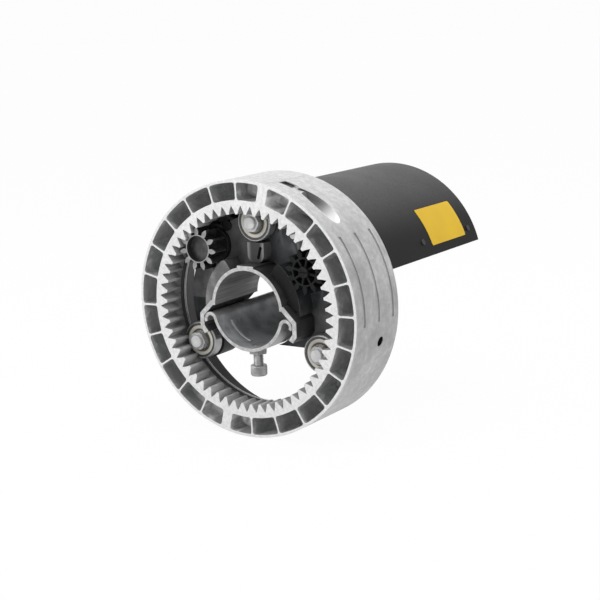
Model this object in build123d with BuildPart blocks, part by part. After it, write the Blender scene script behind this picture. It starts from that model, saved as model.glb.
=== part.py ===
from build123d import *
import math
import os

os.makedirs("parts", exist_ok=True)

# Central motor of a roller shutter. The shutter's shaft runs along Y through the middle,
# the open front of the crown looks towards -Y, +Z is up. Sizes are in millimetres.
# The origin lies on the shaft's axis, halfway along the crown.
# Angles are measured clockwise from +Z, seen from the front.

# Crown
crown_r = 100.0
crown_width = 62.0
split_angle = 13.2
skin = 2.0
skirt_wall = 6.0
cell_count = 24
ring_wall = 3.9
cell_depth = 30.0
cell_corner_r = 2.0
thin_rib = 1.4
wide_rib = 8.5
web = 3.5
track_r = 80.6
lip_height = 2.2
lip_width = 2.5
lip_step = 2.0

# Teeth
pressure_angle = 25.0
ring_teeth = 58
drive_teeth = 11
limit_teeth = 11
ring_root_depth = 3.75
ring_root_gap = 0.15
ring_tip_depth = 2.95
ring_tooth_length = 16.6
ring_space = 3.95
gear_tooth = 3.55
gear_tip_height = 2.6
gear_root_depth = 3.5
tooth_root_overlap = 0.5
gear_foot_share = 0.86

# Crown screws and the crown's outside
crown_screw_r = 91.0
crown_screw_recess = 22.5
crown_screw_seat = 14.0
crown_screw_length = 30.0
thread_room = 4.0
thread_wall = 2.0
boss_inset = 0.5
crown_boss_r = 9.8
head_pocket_r = 8.0
m8_r = 4.0
m8_head_r = 6.5
m8_head_height = 8.0
m8_socket = 6.0
socket_depth = 4.0
groove_count = 3
groove_pitch = 21.0
groove_width = 3.2
groove_depth = 1.3
groove_shift = 1.6
groove_start = 40.2
groove_arc = 40.4
fixing_hole_inset = 4.5
fixing_hole_angle = 90.0
window_start = 0.9
window_arc = 7.4
window_width = 10.0
window_depth = 2.4

# Bearings
bearing_count = 3
bearing_r = 15.0
bearing_bore_r = 5.0
bearing_width = 9.0
bearing_clearance = 1.4
inner_ring_wall = 3.0
outer_ring_wall = 2.9
seal_thickness = 0.9
seal_recess = 0.4
track_gap = 0.3
seal_gap = 0.15
stud_reach = 6.5
nut_flats = 13.4
nut_corner_r = 7.2
nut_height = 4.4

# Pinion and limit gear
drive_angle = -44.5
drive_recess = 3.0
drive_width = 15.0
cup_r = 10.2
cup_depth = 6.0
drive_hub_r = 10.4
drive_shaft_r = 8.0
drive_shaft_depth = 8.0
drive_shaft_room = 1.0
limit_angle = 58.4
limit_recess_y = 5.0
limit_width = 16.0
limit_rim_inner_r = 9.8
limit_hub_r = 4.2
limit_spokes = 8
limit_spoke_width = 1.5
limit_recess = 6.0
limit_shaft_r = 3.0
spindle_head = 2.0
spindle_slot = 1.0
running_gap = 0.05
cut_beyond = 5.0
small_chamfer = 0.6
# how far ribs, fins and pads sink into what carries them
sunk = 1.0

# Saddle and clamp
bore_r = 30.1
saddle_recess = 4.0
saddle_length = 58.0
saddle_wall = 2.7
hook_wall = 3.7
hook_bottom = -17.8
hook_tip_x = 37.5
hook_tip_z = -20.6
shoulder_z = 4.6
shoulder_step = 1.0
arch_end_z = 1.0
pad_width = 15.0
pad_height = 0.8
trough_r = 30.7
trough_wall = 2.5
curl_r = 5.8
curl_start = 17.1
curl_end = 25.0
trough_length = 96.0
bead_inset = 16.0
bead_width = 1.8
bead_height = 0.4
bead_start = 27.0
bead_arc = 45.0
groove_gap = 0.45
clamp_bolt_inset = 13.0
clamp_bolt_length = 16.0
clamp_bolt_tip = -30.6
weld_nut_flats = 13.0
weld_nut_height = 3.8

# Front carrier
carrier_gap = 2.0
carrier_plate = 6.0
carrier_depth = 21.0
carrier_r = 70.0
carrier_lower_z = -32.0
carrier_edge_gap = 1.0
lobe_r = 16.0
saddle_gap = 0.2
trough_gap = 0.8
limit_shaft_room = 1.0
spigot_r = 7.6
cheek_start = 34.0
cheek_arc = 60.0
cheek_length = 18.0
cheek_clearance = 1.0
cheek_corner_r = 3.0
post_width = 15.0
post_gap = 0.9
post_length = 10.0
post_foot_r = 6.5
post_slot_width = 2.6
post_slot_length = 10.5
post_slot_place = 3.4
post_slot_turn = 16.0
post_slot_depth = 6.0

# Gearbox, motor and what sits beside it
gearbox_r = 23.2
gearbox_length = 56.0
gearbox_ribs = 12
rib_height = 1.2
rib_width = 2.0
flange_width = 5.0
flange_screw_orbit = 18.5
flange_screw_angles = [-100, 45, 95]
m5_r = 2.5
m5_head_r = 4.2
m5_head_height = 1.6
m5_length = 12.0
nose_r = 13.5
nose_length = 10.0
motor_r = 22.0
motor_length = 112.0
motor_cap_length = 10.0
brake_r = 19.5
brake_length = 12.0
brake_groove = 3.0
fin_height = 1.0
fin_width = 2.0
fin_count = 16
capacitor_r = 15.0
capacitor_angle = 8.0
capacitor_orbit = 66.0
capacitor_length = 72.0
capacitor_corner_r = 2.0
strap_wall = 1.2
strap_width = 12.0
strap_inset = 39.5
strap_arm = 3.0

# Limit switch unit
limit_tray_width = 34.0
limit_tray_height = 40.0
limit_tray_length = 58.0
limit_tray_wall = 2.0
cam_r = 9.0
cam_width = 7.0
cam_insets = [22.0, 40.0]
switch_width = 12.0
switch_height = 7.5
switch_length = 15.0

# Terminal block
terminal_angle = 50.0
terminal_inner_r = 56.0
terminal_width = 36.0
terminal_height = 14.0
terminal_length = 22.0
terminal_count = 4
terminal_pitch = 8.5
terminal_screw_r = 2.4

# Brackets and rod
bracket_inset = 41.5
bracket_wall = 2.5
rear_plate_wall = 3.0
plate_half_angle = 71.5
tab_length = 10.0
tab_width = 12.0
tab_wall = 1.6
rod_r = 3.0
rod_angle = 27.0
rod_orbit = 62.0
rod_nut_flats = 10.0
rod_nut_height = 5.0
seat_gap = 0.2

# Cover
cover_r = 87.5
cover_wall = 1.2
cover_half_angle = 74.3
cover_overlap = 10.0
cover_overhang = 5.0
cover_screw_angle = 66.2
cover_screw_r = 1.6
cover_head_r = 2.3
cover_head_height = 1.0
cover_screw_length = 6.0

# Worked out from the sizes above
crown_front = -crown_width / 2
crown_rear = crown_width / 2
cell_floor = crown_front + cell_depth
crown_screw_y = crown_front + crown_screw_recess
fixing_hole_y = cell_floor + web + fixing_hole_inset
lip_front = cell_floor - lip_step
cell_inner_r = track_r + ring_wall
pitch_step = 360 / ring_teeth
ring_pitch_r = track_r - ring_root_depth
module = 2 * ring_pitch_r / ring_teeth
drive_pitch_r = module * drive_teeth / 2
limit_pitch_r = module * limit_teeth / 2
ring_tip_r = ring_pitch_r - ring_tip_depth
drive_orbit = ring_pitch_r - drive_pitch_r
limit_orbit = ring_pitch_r - limit_pitch_r
bearing_orbit = track_r - track_gap - bearing_r
bearing_front = crown_front + ring_tooth_length + bearing_clearance
bearing_rear = bearing_front + bearing_width
post_top = bearing_orbit - bearing_r - post_gap
stud_front = bearing_front - stud_reach
bearing_angles = [step * 360 / bearing_count for step in range(bearing_count)]
carrier_front = bearing_rear + carrier_gap
post_front = carrier_front - post_length
drive_front = crown_front + drive_recess
limit_front = crown_front + limit_recess_y
saddle_front = crown_front + saddle_recess
clamp_bolt_y = saddle_front + clamp_bolt_inset
gearbox_front = carrier_front + carrier_plate
gearbox_rear = gearbox_front + gearbox_length
nose_front = gearbox_front - nose_length
drive_shaft_end = gearbox_front + drive_shaft_depth
bracket_y = gearbox_rear + bracket_inset
strap_y = bracket_y - strap_inset
cam_ys = [gearbox_front + inset for inset in cam_insets]
motor_rear = gearbox_rear + motor_length
cap_rear = motor_rear + motor_cap_length
rear_plate_y = cap_rear + brake_length
plate_rear = rear_plate_y + rear_plate_wall
cover_front = crown_rear - cover_overlap
cover_rear = plate_rear + cover_overhang
plate_r = cover_r - cover_wall - seat_gap
bracket_rear = bracket_y + bracket_wall
cover_screw_ys = [bracket_rear + tab_length / 2, rear_plate_y - tab_length / 2]


def facing(y):
    """Plane across the shaft at y that looks towards the front: local x is X, local y is Z."""
    return Plane(origin=(0, y, 0), x_dir=(1, 0, 0), z_dir=(0, -1, 0))


def around(radius, angle):
    """Point at an angle clockwise from +Z, in a plane across the shaft."""
    turn = math.radians(angle)
    return (radius * math.sin(turn), radius * math.cos(turn))


def section(angle):
    """Plane through the shaft's axis: local x runs outwards at the angle, local y is Y."""
    x, z = around(1, angle)
    return Plane(origin=(0, 0, 0), x_dir=(x, 0, z), z_dir=(-z, 0, x))


def outwards(radius, angle, y):
    """Plane on a cylinder around the shaft that looks outwards."""
    x, z = around(1, angle)
    return Plane(origin=(radius * x, y, radius * z), x_dir=(0, 1, 0), z_dir=(x, 0, z))


def along_tangent(radius, angle, y, clockwise=1):
    """Plane across the tangent at a point around the shaft, looking clockwise or back."""
    x, z = around(1, angle)
    direction = (clockwise * z, 0, -clockwise * x)
    return Plane(origin=(radius * x, y, radius * z), x_dir=(0, 1, 0), z_dir=direction)


def involute(radius, base_r):
    """Polar angle, in radians, of an involute where it reaches a radius."""
    roll = math.acos(min(1.0, base_r / radius))
    return math.tan(roll) - roll


def half_width(radius, teeth, thickness):
    """Half the angle of an involute tooth, or of the space that fits it, at a radius."""
    pitch_r = module * teeth / 2
    base_r = pitch_r * math.cos(math.radians(pressure_angle))
    at_pitch = thickness / (2 * pitch_r) + involute(pitch_r, base_r)
    return at_pitch - involute(max(radius, base_r), base_r)


def in_mesh(angle, teeth):
    """Angle of a gear's first tooth so that it lies in a space of the crown's ring."""
    spaces = round((angle - split_angle) / pitch_step)
    nearest = split_angle + spaces * pitch_step
    return angle + (nearest - angle) * ring_teeth / teeth


# One tooth space of the ring, along local x
space_radii = [
    ring_tip_r - ring_root_depth / 4,
    ring_tip_r + ring_root_depth / 2,
    ring_pitch_r + ring_root_depth / 4,
    track_r - ring_root_gap,
]
with BuildSketch() as ring_gap:
    with BuildLine():
        flank = []
        for radius in space_radii:
            turn = half_width(radius, ring_teeth, ring_space)
            flank.append((radius * math.cos(turn), radius * math.sin(turn)))
        Polyline(*flank, *[(x, -y) for x, y in reversed(flank)], close=True)
    make_face()


def gear_tooth_sketch(teeth):
    """One tooth of a gear that meshes with the ring, along local x."""
    pitch_r = module * teeth / 2
    base_r = pitch_r * math.cos(math.radians(pressure_angle))
    tip_r = pitch_r + gear_tip_height
    root_r = pitch_r - gear_root_depth
    flank = []
    for step in range(4):
        radius = base_r + (tip_r - base_r) * step / 3
        turn = half_width(radius, teeth, gear_tooth)
        flank.append((radius * math.cos(turn), radius * math.sin(turn)))
    foot_turn = half_width(base_r, teeth, gear_tooth) * gear_foot_share
    foot = (root_r * math.cos(foot_turn), root_r * math.sin(foot_turn))
    inside = (root_r / 2, foot[1] / 2)
    with BuildSketch() as tooth:
        with BuildLine():
            upper = Spline(*flank)
            lower = Spline(*[(x, -y) for x, y in flank])
            Line(upper @ 1, lower @ 1)
            Polyline(
                upper @ 0, foot, inside, (inside[0], -inside[1]), (foot[0], -foot[1]), lower @ 0
            )
        make_face()
    return tooth.sketch


# Boss for a crown screw, kept within the crown's skin
def crown_boss(angle, clockwise, length):
    with BuildPart() as boss:
        with BuildSketch(along_tangent(crown_screw_r, angle, crown_screw_y, clockwise)):
            Circle(crown_boss_r)
        extrude(amount=length)
        with BuildSketch(facing(crown_rear)):
            Circle(crown_r - boss_inset)
        extrude(amount=crown_width, mode=Mode.INTERSECT)
    return boss.part


boss_reach = math.sqrt(crown_r ** 2 - (crown_screw_r - crown_boss_r) ** 2)
thread_reach = crown_screw_length - crown_screw_seat + thread_room
head_boss = crown_boss(split_angle, 1, boss_reach)
thread_boss = crown_boss(split_angle + 180, -1, thread_reach + thread_wall)

# Right half of the crown
with BuildPart() as crown_half_right:
    with BuildSketch(section(split_angle)):
        with BuildLine():
            Polyline(
                (track_r, crown_front),
                (crown_r, crown_front),
                (crown_r, crown_rear),
                (crown_r - skirt_wall, crown_rear),
                (crown_r - skirt_wall, cell_floor + web),
                (track_r, cell_floor + web),
                (track_r, lip_front + lip_width),
                (track_r - lip_height, lip_front + lip_width),
                (track_r - lip_height, lip_front),
                (track_r, lip_front),
                close=True,
            )
        make_face()
    revolve(axis=Axis.Y, revolution_arc=180)
    # cells, open at the front
    with BuildSketch(facing(crown_front)) as cells:
        Circle(crown_r - skin)
        Circle(cell_inner_r, mode=Mode.SUBTRACT)
        with PolarLocations(0, cell_count, start_angle=90 - split_angle):
            Rectangle(crown_r, thin_rib, align=(Align.MIN, Align.CENTER), mode=Mode.SUBTRACT)
        with Locations(Location((0, 0), 90 - split_angle)):
            Rectangle(2 * crown_r, wide_rib, mode=Mode.SUBTRACT)
            Rectangle(2 * crown_r, crown_r, align=(Align.CENTER, Align.MAX), mode=Mode.INTERSECT)
        fillet(cells.vertices(), cell_corner_r)
    extrude(amount=-cell_depth, mode=Mode.SUBTRACT)
    # teeth
    with BuildSketch(facing(crown_front)):
        Circle(track_r + tooth_root_overlap)
        Circle(ring_tip_r, mode=Mode.SUBTRACT)
        with PolarLocations(0, ring_teeth, start_angle=90 - split_angle):
            add(ring_gap.sketch, mode=Mode.SUBTRACT)
        with Locations(Location((0, 0), 90 - split_angle)):
            Rectangle(2 * crown_r, crown_r, align=(Align.CENTER, Align.MAX), mode=Mode.INTERSECT)
    extrude(amount=-ring_tooth_length)
    # bosses of the crown screws, with the head's pocket and the threaded hole
    add(head_boss)
    add(thread_boss)
    with BuildSketch(along_tangent(crown_screw_r, split_angle, crown_screw_y)):
        Circle(m8_r + running_gap)
    extrude(amount=crown_screw_seat, mode=Mode.SUBTRACT)
    head_seat = along_tangent(crown_screw_r, split_angle, crown_screw_y).offset(crown_screw_seat)
    with BuildSketch(head_seat):
        Circle(head_pocket_r)
    extrude(amount=crown_r / 2, mode=Mode.SUBTRACT)
    with BuildSketch(along_tangent(crown_screw_r, split_angle + 180, crown_screw_y, -1)):
        Circle(m8_r + running_gap)
    extrude(amount=thread_reach, mode=Mode.SUBTRACT)
    # window over the screw beside the split
    with BuildSketch(section(split_angle + window_start)):
        with Locations((crown_r - window_depth, crown_screw_y)):
            Rectangle(skirt_wall, window_width, align=(Align.MIN, Align.CENTER))
    revolve(axis=Axis.Y, revolution_arc=window_arc, mode=Mode.SUBTRACT)
    # shallow grooves around the outside
    with BuildSketch(section(split_angle + groove_start)):
        for step in range(groove_count):
            groove_y = (step - (groove_count - 1) / 2) * groove_pitch + groove_shift
            with Locations((crown_r - groove_depth, groove_y)):
                Rectangle(skin, groove_width, align=(Align.MIN, Align.CENTER))
    revolve(axis=Axis.Y, revolution_arc=groove_arc, mode=Mode.SUBTRACT)
    # threaded hole for the shutter's fixing screw
    hole_angle = split_angle + fixing_hole_angle
    with BuildSketch(outwards(crown_r - 2 * skirt_wall, hole_angle, fixing_hole_y)):
        Circle(m8_r)
    extrude(amount=3 * skirt_wall, mode=Mode.SUBTRACT)
crown_half_right.part.label = "crown_half_right"
export_step(crown_half_right.part, "parts/crown_half_right.step")

# Left half, the same casting turned half a turn about the shaft
with BuildPart() as crown_half_left:
    add(crown_half_right.part.rotate(Axis.Y, 180))
crown_half_left.part.label = "crown_half_left"
export_step(crown_half_left.part, "parts/crown_half_left.step")

# Crown screws, one across each split
with BuildPart() as crown_screws:
    for angle in (split_angle, split_angle + 180):
        seat = along_tangent(crown_screw_r, angle, crown_screw_y).offset(crown_screw_seat)
        with BuildSketch(seat):
            Circle(m8_r)
        extrude(amount=-crown_screw_length)
        with BuildSketch(seat):
            Circle(m8_head_r)
        extrude(amount=m8_head_height)
        with BuildSketch(seat.offset(m8_head_height)):
            RegularPolygon(m8_socket / 2, 6, major_radius=False)
        extrude(amount=-socket_depth, mode=Mode.SUBTRACT)
crown_screws.part.label = "crown_screws"
export_step(crown_screws.part, "parts/crown_screws.step")

# Bearings: an outer ring and its two seals turn with each other
seal_inner_r = bearing_bore_r + inner_ring_wall + seal_gap
seal_outer_r = bearing_r - outer_ring_wall
for number, angle in enumerate(bearing_angles, start=1):
    centre = around(bearing_orbit, angle)
    with BuildPart() as outer_ring:
        with BuildSketch(facing(bearing_rear)):
            with Locations(centre):
                Circle(bearing_r)
                Circle(bearing_r - outer_ring_wall, mode=Mode.SUBTRACT)
        extrude(amount=bearing_width)
        circles = outer_ring.edges().filter_by(GeomType.CIRCLE)
        chamfer(circles.group_by(SortBy.RADIUS)[-1], small_chamfer)
    outer_ring.part.label = f"bearing_ring_{number}"
    export_step(outer_ring.part, f"parts/bearing_ring_{number}.step")
    with BuildPart() as seals:
        for y in (bearing_front + seal_recess + seal_thickness, bearing_rear - seal_recess):
            with BuildSketch(facing(y)):
                with Locations(centre):
                    Circle(seal_outer_r)
                    Circle(seal_inner_r, mode=Mode.SUBTRACT)
            extrude(amount=seal_thickness)
    seals.part.label = f"bearing_seals_{number}"
    export_step(seals.part, f"parts/bearing_seals_{number}.step")

with BuildPart() as bearing_inner_rings:
    with BuildSketch(facing(bearing_rear)):
        with Locations(*[around(bearing_orbit, angle) for angle in bearing_angles]):
            Circle(bearing_bore_r + inner_ring_wall)
            Circle(bearing_bore_r, mode=Mode.SUBTRACT)
    extrude(amount=bearing_width)
bearing_inner_rings.part.label = "bearing_inner_rings"
export_step(bearing_inner_rings.part, "parts/bearing_inner_rings.step")

# Studs of the bearings and their nuts
with BuildPart() as bearing_studs:
    with BuildSketch(facing(carrier_front + carrier_depth / 2)):
        with Locations(*[around(bearing_orbit, angle) for angle in bearing_angles]):
            Circle(bearing_bore_r)
    extrude(amount=carrier_front + carrier_depth / 2 - stud_front)
    chamfer(bearing_studs.faces().group_by(Axis.Y)[0].edges(), small_chamfer)
bearing_studs.part.label = "bearing_studs"
export_step(bearing_studs.part, "parts/bearing_studs.step")

with BuildSketch() as stud_nut:
    RegularPolygon(nut_flats / 2, 6, major_radius=False)
    Circle(nut_corner_r, mode=Mode.INTERSECT)
    Circle(bearing_bore_r, mode=Mode.SUBTRACT)

with BuildPart() as bearing_nuts:
    with BuildSketch(facing(bearing_front)):
        with Locations(*[around(bearing_orbit, angle) for angle in bearing_angles]):
            add(stud_nut.sketch)
    extrude(amount=nut_height)
bearing_nuts.part.label = "bearing_nuts"
export_step(bearing_nuts.part, "parts/bearing_nuts.step")

# Drive pinion with its hub and the end of its shaft
drive_centre = around(drive_orbit, drive_angle)
drive_tooth = gear_tooth_sketch(drive_teeth)
with BuildPart() as drive_pinion:
    with BuildSketch(facing(drive_front + drive_width)):
        with Locations(drive_centre):
            Circle(drive_pitch_r - gear_root_depth)
            with PolarLocations(0, drive_teeth, start_angle=90 - in_mesh(drive_angle, drive_teeth)):
                add(drive_tooth)
    extrude(amount=drive_width)
    with BuildSketch(facing(nose_front - running_gap)):
        with Locations(drive_centre):
            Circle(drive_hub_r)
    extrude(amount=nose_front - running_gap - drive_front - drive_width)
    with BuildSketch(facing(drive_shaft_end)):
        with Locations(drive_centre):
            Circle(drive_shaft_r)
    extrude(amount=drive_shaft_end - drive_front - drive_width)
    with BuildSketch(facing(drive_front)):
        with Locations(drive_centre):
            Circle(cup_r)
    extrude(amount=-cup_depth, mode=Mode.SUBTRACT)
drive_pinion.part.label = "drive_pinion"
export_step(drive_pinion.part, "parts/drive_pinion.step")

# Limit gear: toothed rim, hub and spokes in front of a thin disc
limit_centre = around(limit_orbit, limit_angle)
limit_tooth = gear_tooth_sketch(limit_teeth)
with BuildPart() as limit_gear:
    with BuildSketch(facing(limit_front + limit_width)):
        with Locations(limit_centre):
            Circle(limit_pitch_r - gear_root_depth)
            with PolarLocations(0, limit_teeth, start_angle=90 - in_mesh(limit_angle, limit_teeth)):
                add(limit_tooth)
    extrude(amount=limit_width)
    with BuildSketch(facing(limit_front)):
        with Locations(limit_centre):
            Circle(limit_rim_inner_r)
            Circle(limit_hub_r, mode=Mode.SUBTRACT)
            with PolarLocations(0, limit_spokes, start_angle=90 - limit_angle):
                Rectangle(
                    limit_rim_inner_r + sunk,
                    limit_spoke_width,
                    align=(Align.MIN, Align.CENTER),
                    mode=Mode.SUBTRACT,
                )
    extrude(amount=-limit_recess, mode=Mode.SUBTRACT)
    with BuildSketch(facing(limit_front)):
        with Locations(limit_centre):
            Circle(limit_shaft_r)
    extrude(amount=-limit_width, mode=Mode.SUBTRACT)
limit_gear.part.label = "limit_gear"
export_step(limit_gear.part, "parts/limit_gear.step")

# Saddle: an arch over the shaft that opens into a hook groove on each side
curl_orbit = trough_r + curl_r
curl_x = curl_orbit * math.cos(math.radians(curl_start))
curl_z = -curl_orbit * math.sin(math.radians(curl_start))
groove_x = curl_x + curl_r + groove_gap
hook_x = groove_x + hook_wall
shoulder_x = bore_r + saddle_wall + shoulder_step
arch_r = bore_r + saddle_wall
arch_turn = math.degrees(math.asin(shoulder_z / arch_r))
end_turn = math.degrees(math.asin(arch_end_z / bore_r))
ceiling = curl_x + curl_z + math.sqrt(2) * (curl_r + groove_gap)
with BuildPart() as saddle:
    with BuildSketch(facing(saddle_front + saddle_length)) as profile:
        with BuildLine():
            outer = CenterArc((0, 0), arch_r, arch_turn, 90 - arch_turn)
            inner = CenterArc((0, 0), bore_r, end_turn, 90 - end_turn)
            Polyline(
                outer @ 0,
                (shoulder_x, shoulder_z),
                (hook_x, shoulder_z - (hook_x - shoulder_x)),
                (hook_x, hook_bottom),
                (hook_tip_x + hook_wall, hook_tip_z - hook_wall / 2),
                (hook_tip_x, hook_tip_z),
                (groove_x, hook_bottom + hook_wall / 2),
                (groove_x, ceiling - groove_x),
                (ceiling - arch_end_z, arch_end_z),
                inner @ 0,
            )
            Line(inner @ 1, outer @ 1)
        make_face()
        mirror(about=Plane.YZ)
        with Locations((0, arch_r - sunk)):
            Rectangle(pad_width, pad_height + sunk, align=(Align.CENTER, Align.MIN))
    extrude(amount=saddle_length)
saddle.part.label = "saddle"
export_step(saddle.part, "parts/saddle.step")

# Clamp trough: bent sheet whose rolled edges hang in the hook grooves
with BuildPart() as clamp_trough:
    with BuildSketch(facing(saddle_front + trough_length)):
        with BuildLine():
            inside = CenterArc((0, 0), trough_r, -90, 90 - curl_start)
            outside = CenterArc((0, 0), trough_r + trough_wall, -90, 90 - curl_start)
            curl_turn = curl_start - 180 - curl_end
            curl = CenterArc((curl_x, curl_z), curl_r, 180 - curl_start, curl_turn)
            curl_in = CenterArc((curl_x, curl_z), curl_r - trough_wall, 180 - curl_start, curl_turn)
            Line(curl @ 1, curl_in @ 1)
            Line(inside @ 0, outside @ 0)
        make_face()
        mirror(about=Plane.YZ)
    extrude(amount=trough_length)
    # a low bead across the inside, on both sides of the bolt
    with BuildSketch(facing(saddle_front + bead_inset + bead_width)):
        for middle in (180 + bead_start, 360 - bead_start - bead_arc):
            with BuildLine():
                crest = CenterArc((0, 0), trough_r - bead_height, middle, bead_arc)
                root = CenterArc((0, 0), trough_r + trough_wall / 2, middle, bead_arc)
                Line(crest @ 0, root @ 0)
                Line(crest @ 1, root @ 1)
            make_face()
    extrude(amount=bead_width)
    with BuildSketch(Plane.XY.offset(-trough_r - trough_wall - cut_beyond)):
        with Locations((0, clamp_bolt_y)):
            Circle(m8_r + running_gap)
    extrude(amount=trough_wall + 2 * cut_beyond, mode=Mode.SUBTRACT)
clamp_trough.part.label = "clamp_trough"
export_step(clamp_trough.part, "parts/clamp_trough.step")

# Nut under the trough
nut_top = -(trough_r + trough_wall)
with BuildPart() as clamp_nut:
    with BuildSketch(Plane.XY.offset(nut_top)):
        with Locations((0, clamp_bolt_y)):
            RegularPolygon(weld_nut_flats / 2, 6, major_radius=False)
            Circle(m8_r + running_gap, mode=Mode.SUBTRACT)
    extrude(amount=-weld_nut_height)
clamp_nut.part.label = "clamp_nut"
export_step(clamp_nut.part, "parts/clamp_nut.step")

# Clamp bolt, screwed up through the nut
head_z = clamp_bolt_tip - clamp_bolt_length
with BuildPart() as clamp_bolt:
    with BuildSketch(Plane.XY.offset(clamp_bolt_tip)):
        with Locations((0, clamp_bolt_y)):
            Circle(m8_r)
    extrude(amount=-clamp_bolt_length)
    chamfer(clamp_bolt.faces().sort_by(Axis.Z)[-1].edges(), small_chamfer)
    with BuildSketch(Plane.XY.offset(head_z)):
        with Locations((0, clamp_bolt_y)):
            Circle(m8_head_r)
    extrude(amount=-m8_head_height)
    with BuildSketch(Plane.XY.offset(head_z - m8_head_height)):
        with Locations((0, clamp_bolt_y)):
            RegularPolygon(m8_socket / 2, 6, major_radius=False)
    extrude(amount=socket_depth, mode=Mode.SUBTRACT)
clamp_bolt.part.label = "clamp_bolt"
export_step(clamp_bolt.part, "parts/clamp_bolt.step")


# Front carrier: a cast plate around the saddle with a deep lobe behind each bearing
bearing_places = [around(bearing_orbit, angle) for angle in bearing_angles]
rod_centre = around(rod_orbit, rod_angle)
flange_screw_places = []
for angle in flange_screw_angles:
    x, z = around(flange_screw_orbit, drive_angle + 180 + angle)
    flange_screw_places.append((drive_centre[0] + x, drive_centre[1] + z))
carrier_reach = track_r - lip_height - carrier_edge_gap
cheek_r = drive_orbit - drive_pitch_r - gear_tip_height - cheek_clearance
post_foot = arch_r + pad_height
carrier_rear = carrier_front + carrier_depth
with BuildPart() as front_carrier:
    with BuildSketch(facing(carrier_front + carrier_plate)):
        Circle(carrier_r)
        with Locations((0, carrier_lower_z)):
            Rectangle(2 * crown_r, crown_r, align=(Align.CENTER, Align.MAX), mode=Mode.SUBTRACT)
        with Locations(*bearing_places, drive_centre):
            Circle(lobe_r)
        Circle(carrier_reach, mode=Mode.INTERSECT)
    extrude(amount=carrier_plate)
    with BuildSketch(facing(carrier_rear)):
        with Locations(*bearing_places):
            Circle(lobe_r)
        Circle(carrier_reach, mode=Mode.INTERSECT)
    extrude(amount=carrier_depth)
    with BuildSketch(facing(carrier_front)):
        with Locations(*bearing_places):
            Circle(spigot_r)
    extrude(amount=carrier_front - bearing_rear)
    # post between the saddle's pad and the top bearing, round at its foot, with a slanted slot
    with BuildSketch(facing(carrier_front)) as post:
        with Locations((0, post_foot)):
            Rectangle(post_width, post_top - post_foot, align=(Align.CENTER, Align.MIN))
        fillet(post.vertices().group_by(Axis.Y)[0], post_foot_r)
    extrude(amount=carrier_front - post_front)
    with BuildSketch(facing(post_front)):
        slot_centre = (post_slot_place, (post_foot + post_top) / 2)
        with Locations(Location(slot_centre, 90 - post_slot_turn)):
            SlotOverall(post_slot_length, post_slot_width)
    extrude(amount=-post_slot_depth, mode=Mode.SUBTRACT)
    # cheeks beside the arch, clear of the pinion and the limit gear
    with BuildSketch(facing(carrier_front)) as cheeks:
        for start in (90 + cheek_start, 90 - cheek_start - cheek_arc):
            with BuildLine():
                rim = CenterArc((0, 0), cheek_r, start, cheek_arc)
                rest = CenterArc((0, 0), arch_r + saddle_gap, start, cheek_arc)
                Line(rim @ 0, rest @ 0)
                Line(rim @ 1, rest @ 1)
            make_face()
        upper_corners = cheeks.vertices().filter_by(lambda corner: corner.Y > cheek_r / 2)
        fillet(upper_corners.sort_by(Axis.Y)[-2:], cheek_corner_r)
    extrude(amount=cheek_length)
    # way through for the saddle, the trough and the shaft
    with BuildSketch(facing(carrier_rear)):
        add(offset(profile.sketch, amount=saddle_gap, kind=Kind.INTERSECTION, mode=Mode.PRIVATE))
        Circle(trough_r + trough_wall + trough_gap)
        with Locations((0, hook_tip_z - saddle_gap)):
            Rectangle(2 * groove_x, arch_end_z - hook_tip_z, align=(Align.CENTER, Align.MIN))
    extrude(amount=carrier_depth + cheek_length, mode=Mode.SUBTRACT)
    # openings for the gearbox's nose, the limit gear's shaft and the bearing studs
    with BuildSketch(facing(carrier_rear)):
        with Locations(drive_centre):
            Circle(nose_r + seat_gap)
        with Locations(limit_centre):
            Circle(limit_hub_r + limit_shaft_room)
        with Locations(*bearing_places):
            Circle(bearing_bore_r)
        with Locations(*flange_screw_places):
            Circle(m5_r)
        with Locations(rod_centre):
            Circle(rod_r)
    extrude(amount=carrier_rear - bearing_rear, mode=Mode.SUBTRACT)
front_carrier.part.label = "front_carrier"
export_step(front_carrier.part, "parts/front_carrier.step")

# Gearbox: a closed ribbed drum behind the carrier, with a nose around the pinion's shaft
with BuildPart() as gearbox_housing:
    with BuildSketch(facing(gearbox_rear)):
        with Locations(drive_centre):
            Circle(gearbox_r - rib_height)
            with PolarLocations(gearbox_r - rib_height - sunk, gearbox_ribs):
                Rectangle(rib_height + sunk, rib_width, align=(Align.MIN, Align.CENTER))
    extrude(amount=gearbox_rear - gearbox_front)
    with BuildSketch(facing(gearbox_front + flange_width)):
        with Locations(drive_centre):
            Circle(gearbox_r)
    extrude(amount=flange_width)
    with BuildSketch(facing(gearbox_front)):
        with Locations(drive_centre):
            Circle(nose_r)
    extrude(amount=gearbox_front - nose_front)
    with BuildSketch(facing(nose_front)):
        with Locations(drive_centre):
            Circle(drive_shaft_r + running_gap)
    extrude(amount=nose_front - drive_shaft_end - drive_shaft_room, mode=Mode.SUBTRACT)
    with BuildSketch(facing(gearbox_front)):
        with Locations(*flange_screw_places):
            Circle(m5_r)
    extrude(amount=carrier_front + gearbox_front - m5_length, mode=Mode.SUBTRACT)
gearbox_housing.part.label = "gearbox_housing"
export_step(gearbox_housing.part, "parts/gearbox_housing.step")

# Motor: finned can, end cap and the brake behind it, all on the pinion's axis
with BuildPart() as motor_can:
    with BuildSketch(facing(motor_rear)):
        with Locations(drive_centre):
            Circle(motor_r - fin_height)
            with PolarLocations(motor_r - fin_height - sunk, fin_count):
                Rectangle(fin_height + sunk, fin_width, align=(Align.MIN, Align.CENTER))
    extrude(amount=motor_length)
motor_can.part.label = "motor_can"
export_step(motor_can.part, "parts/motor_can.step")

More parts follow.
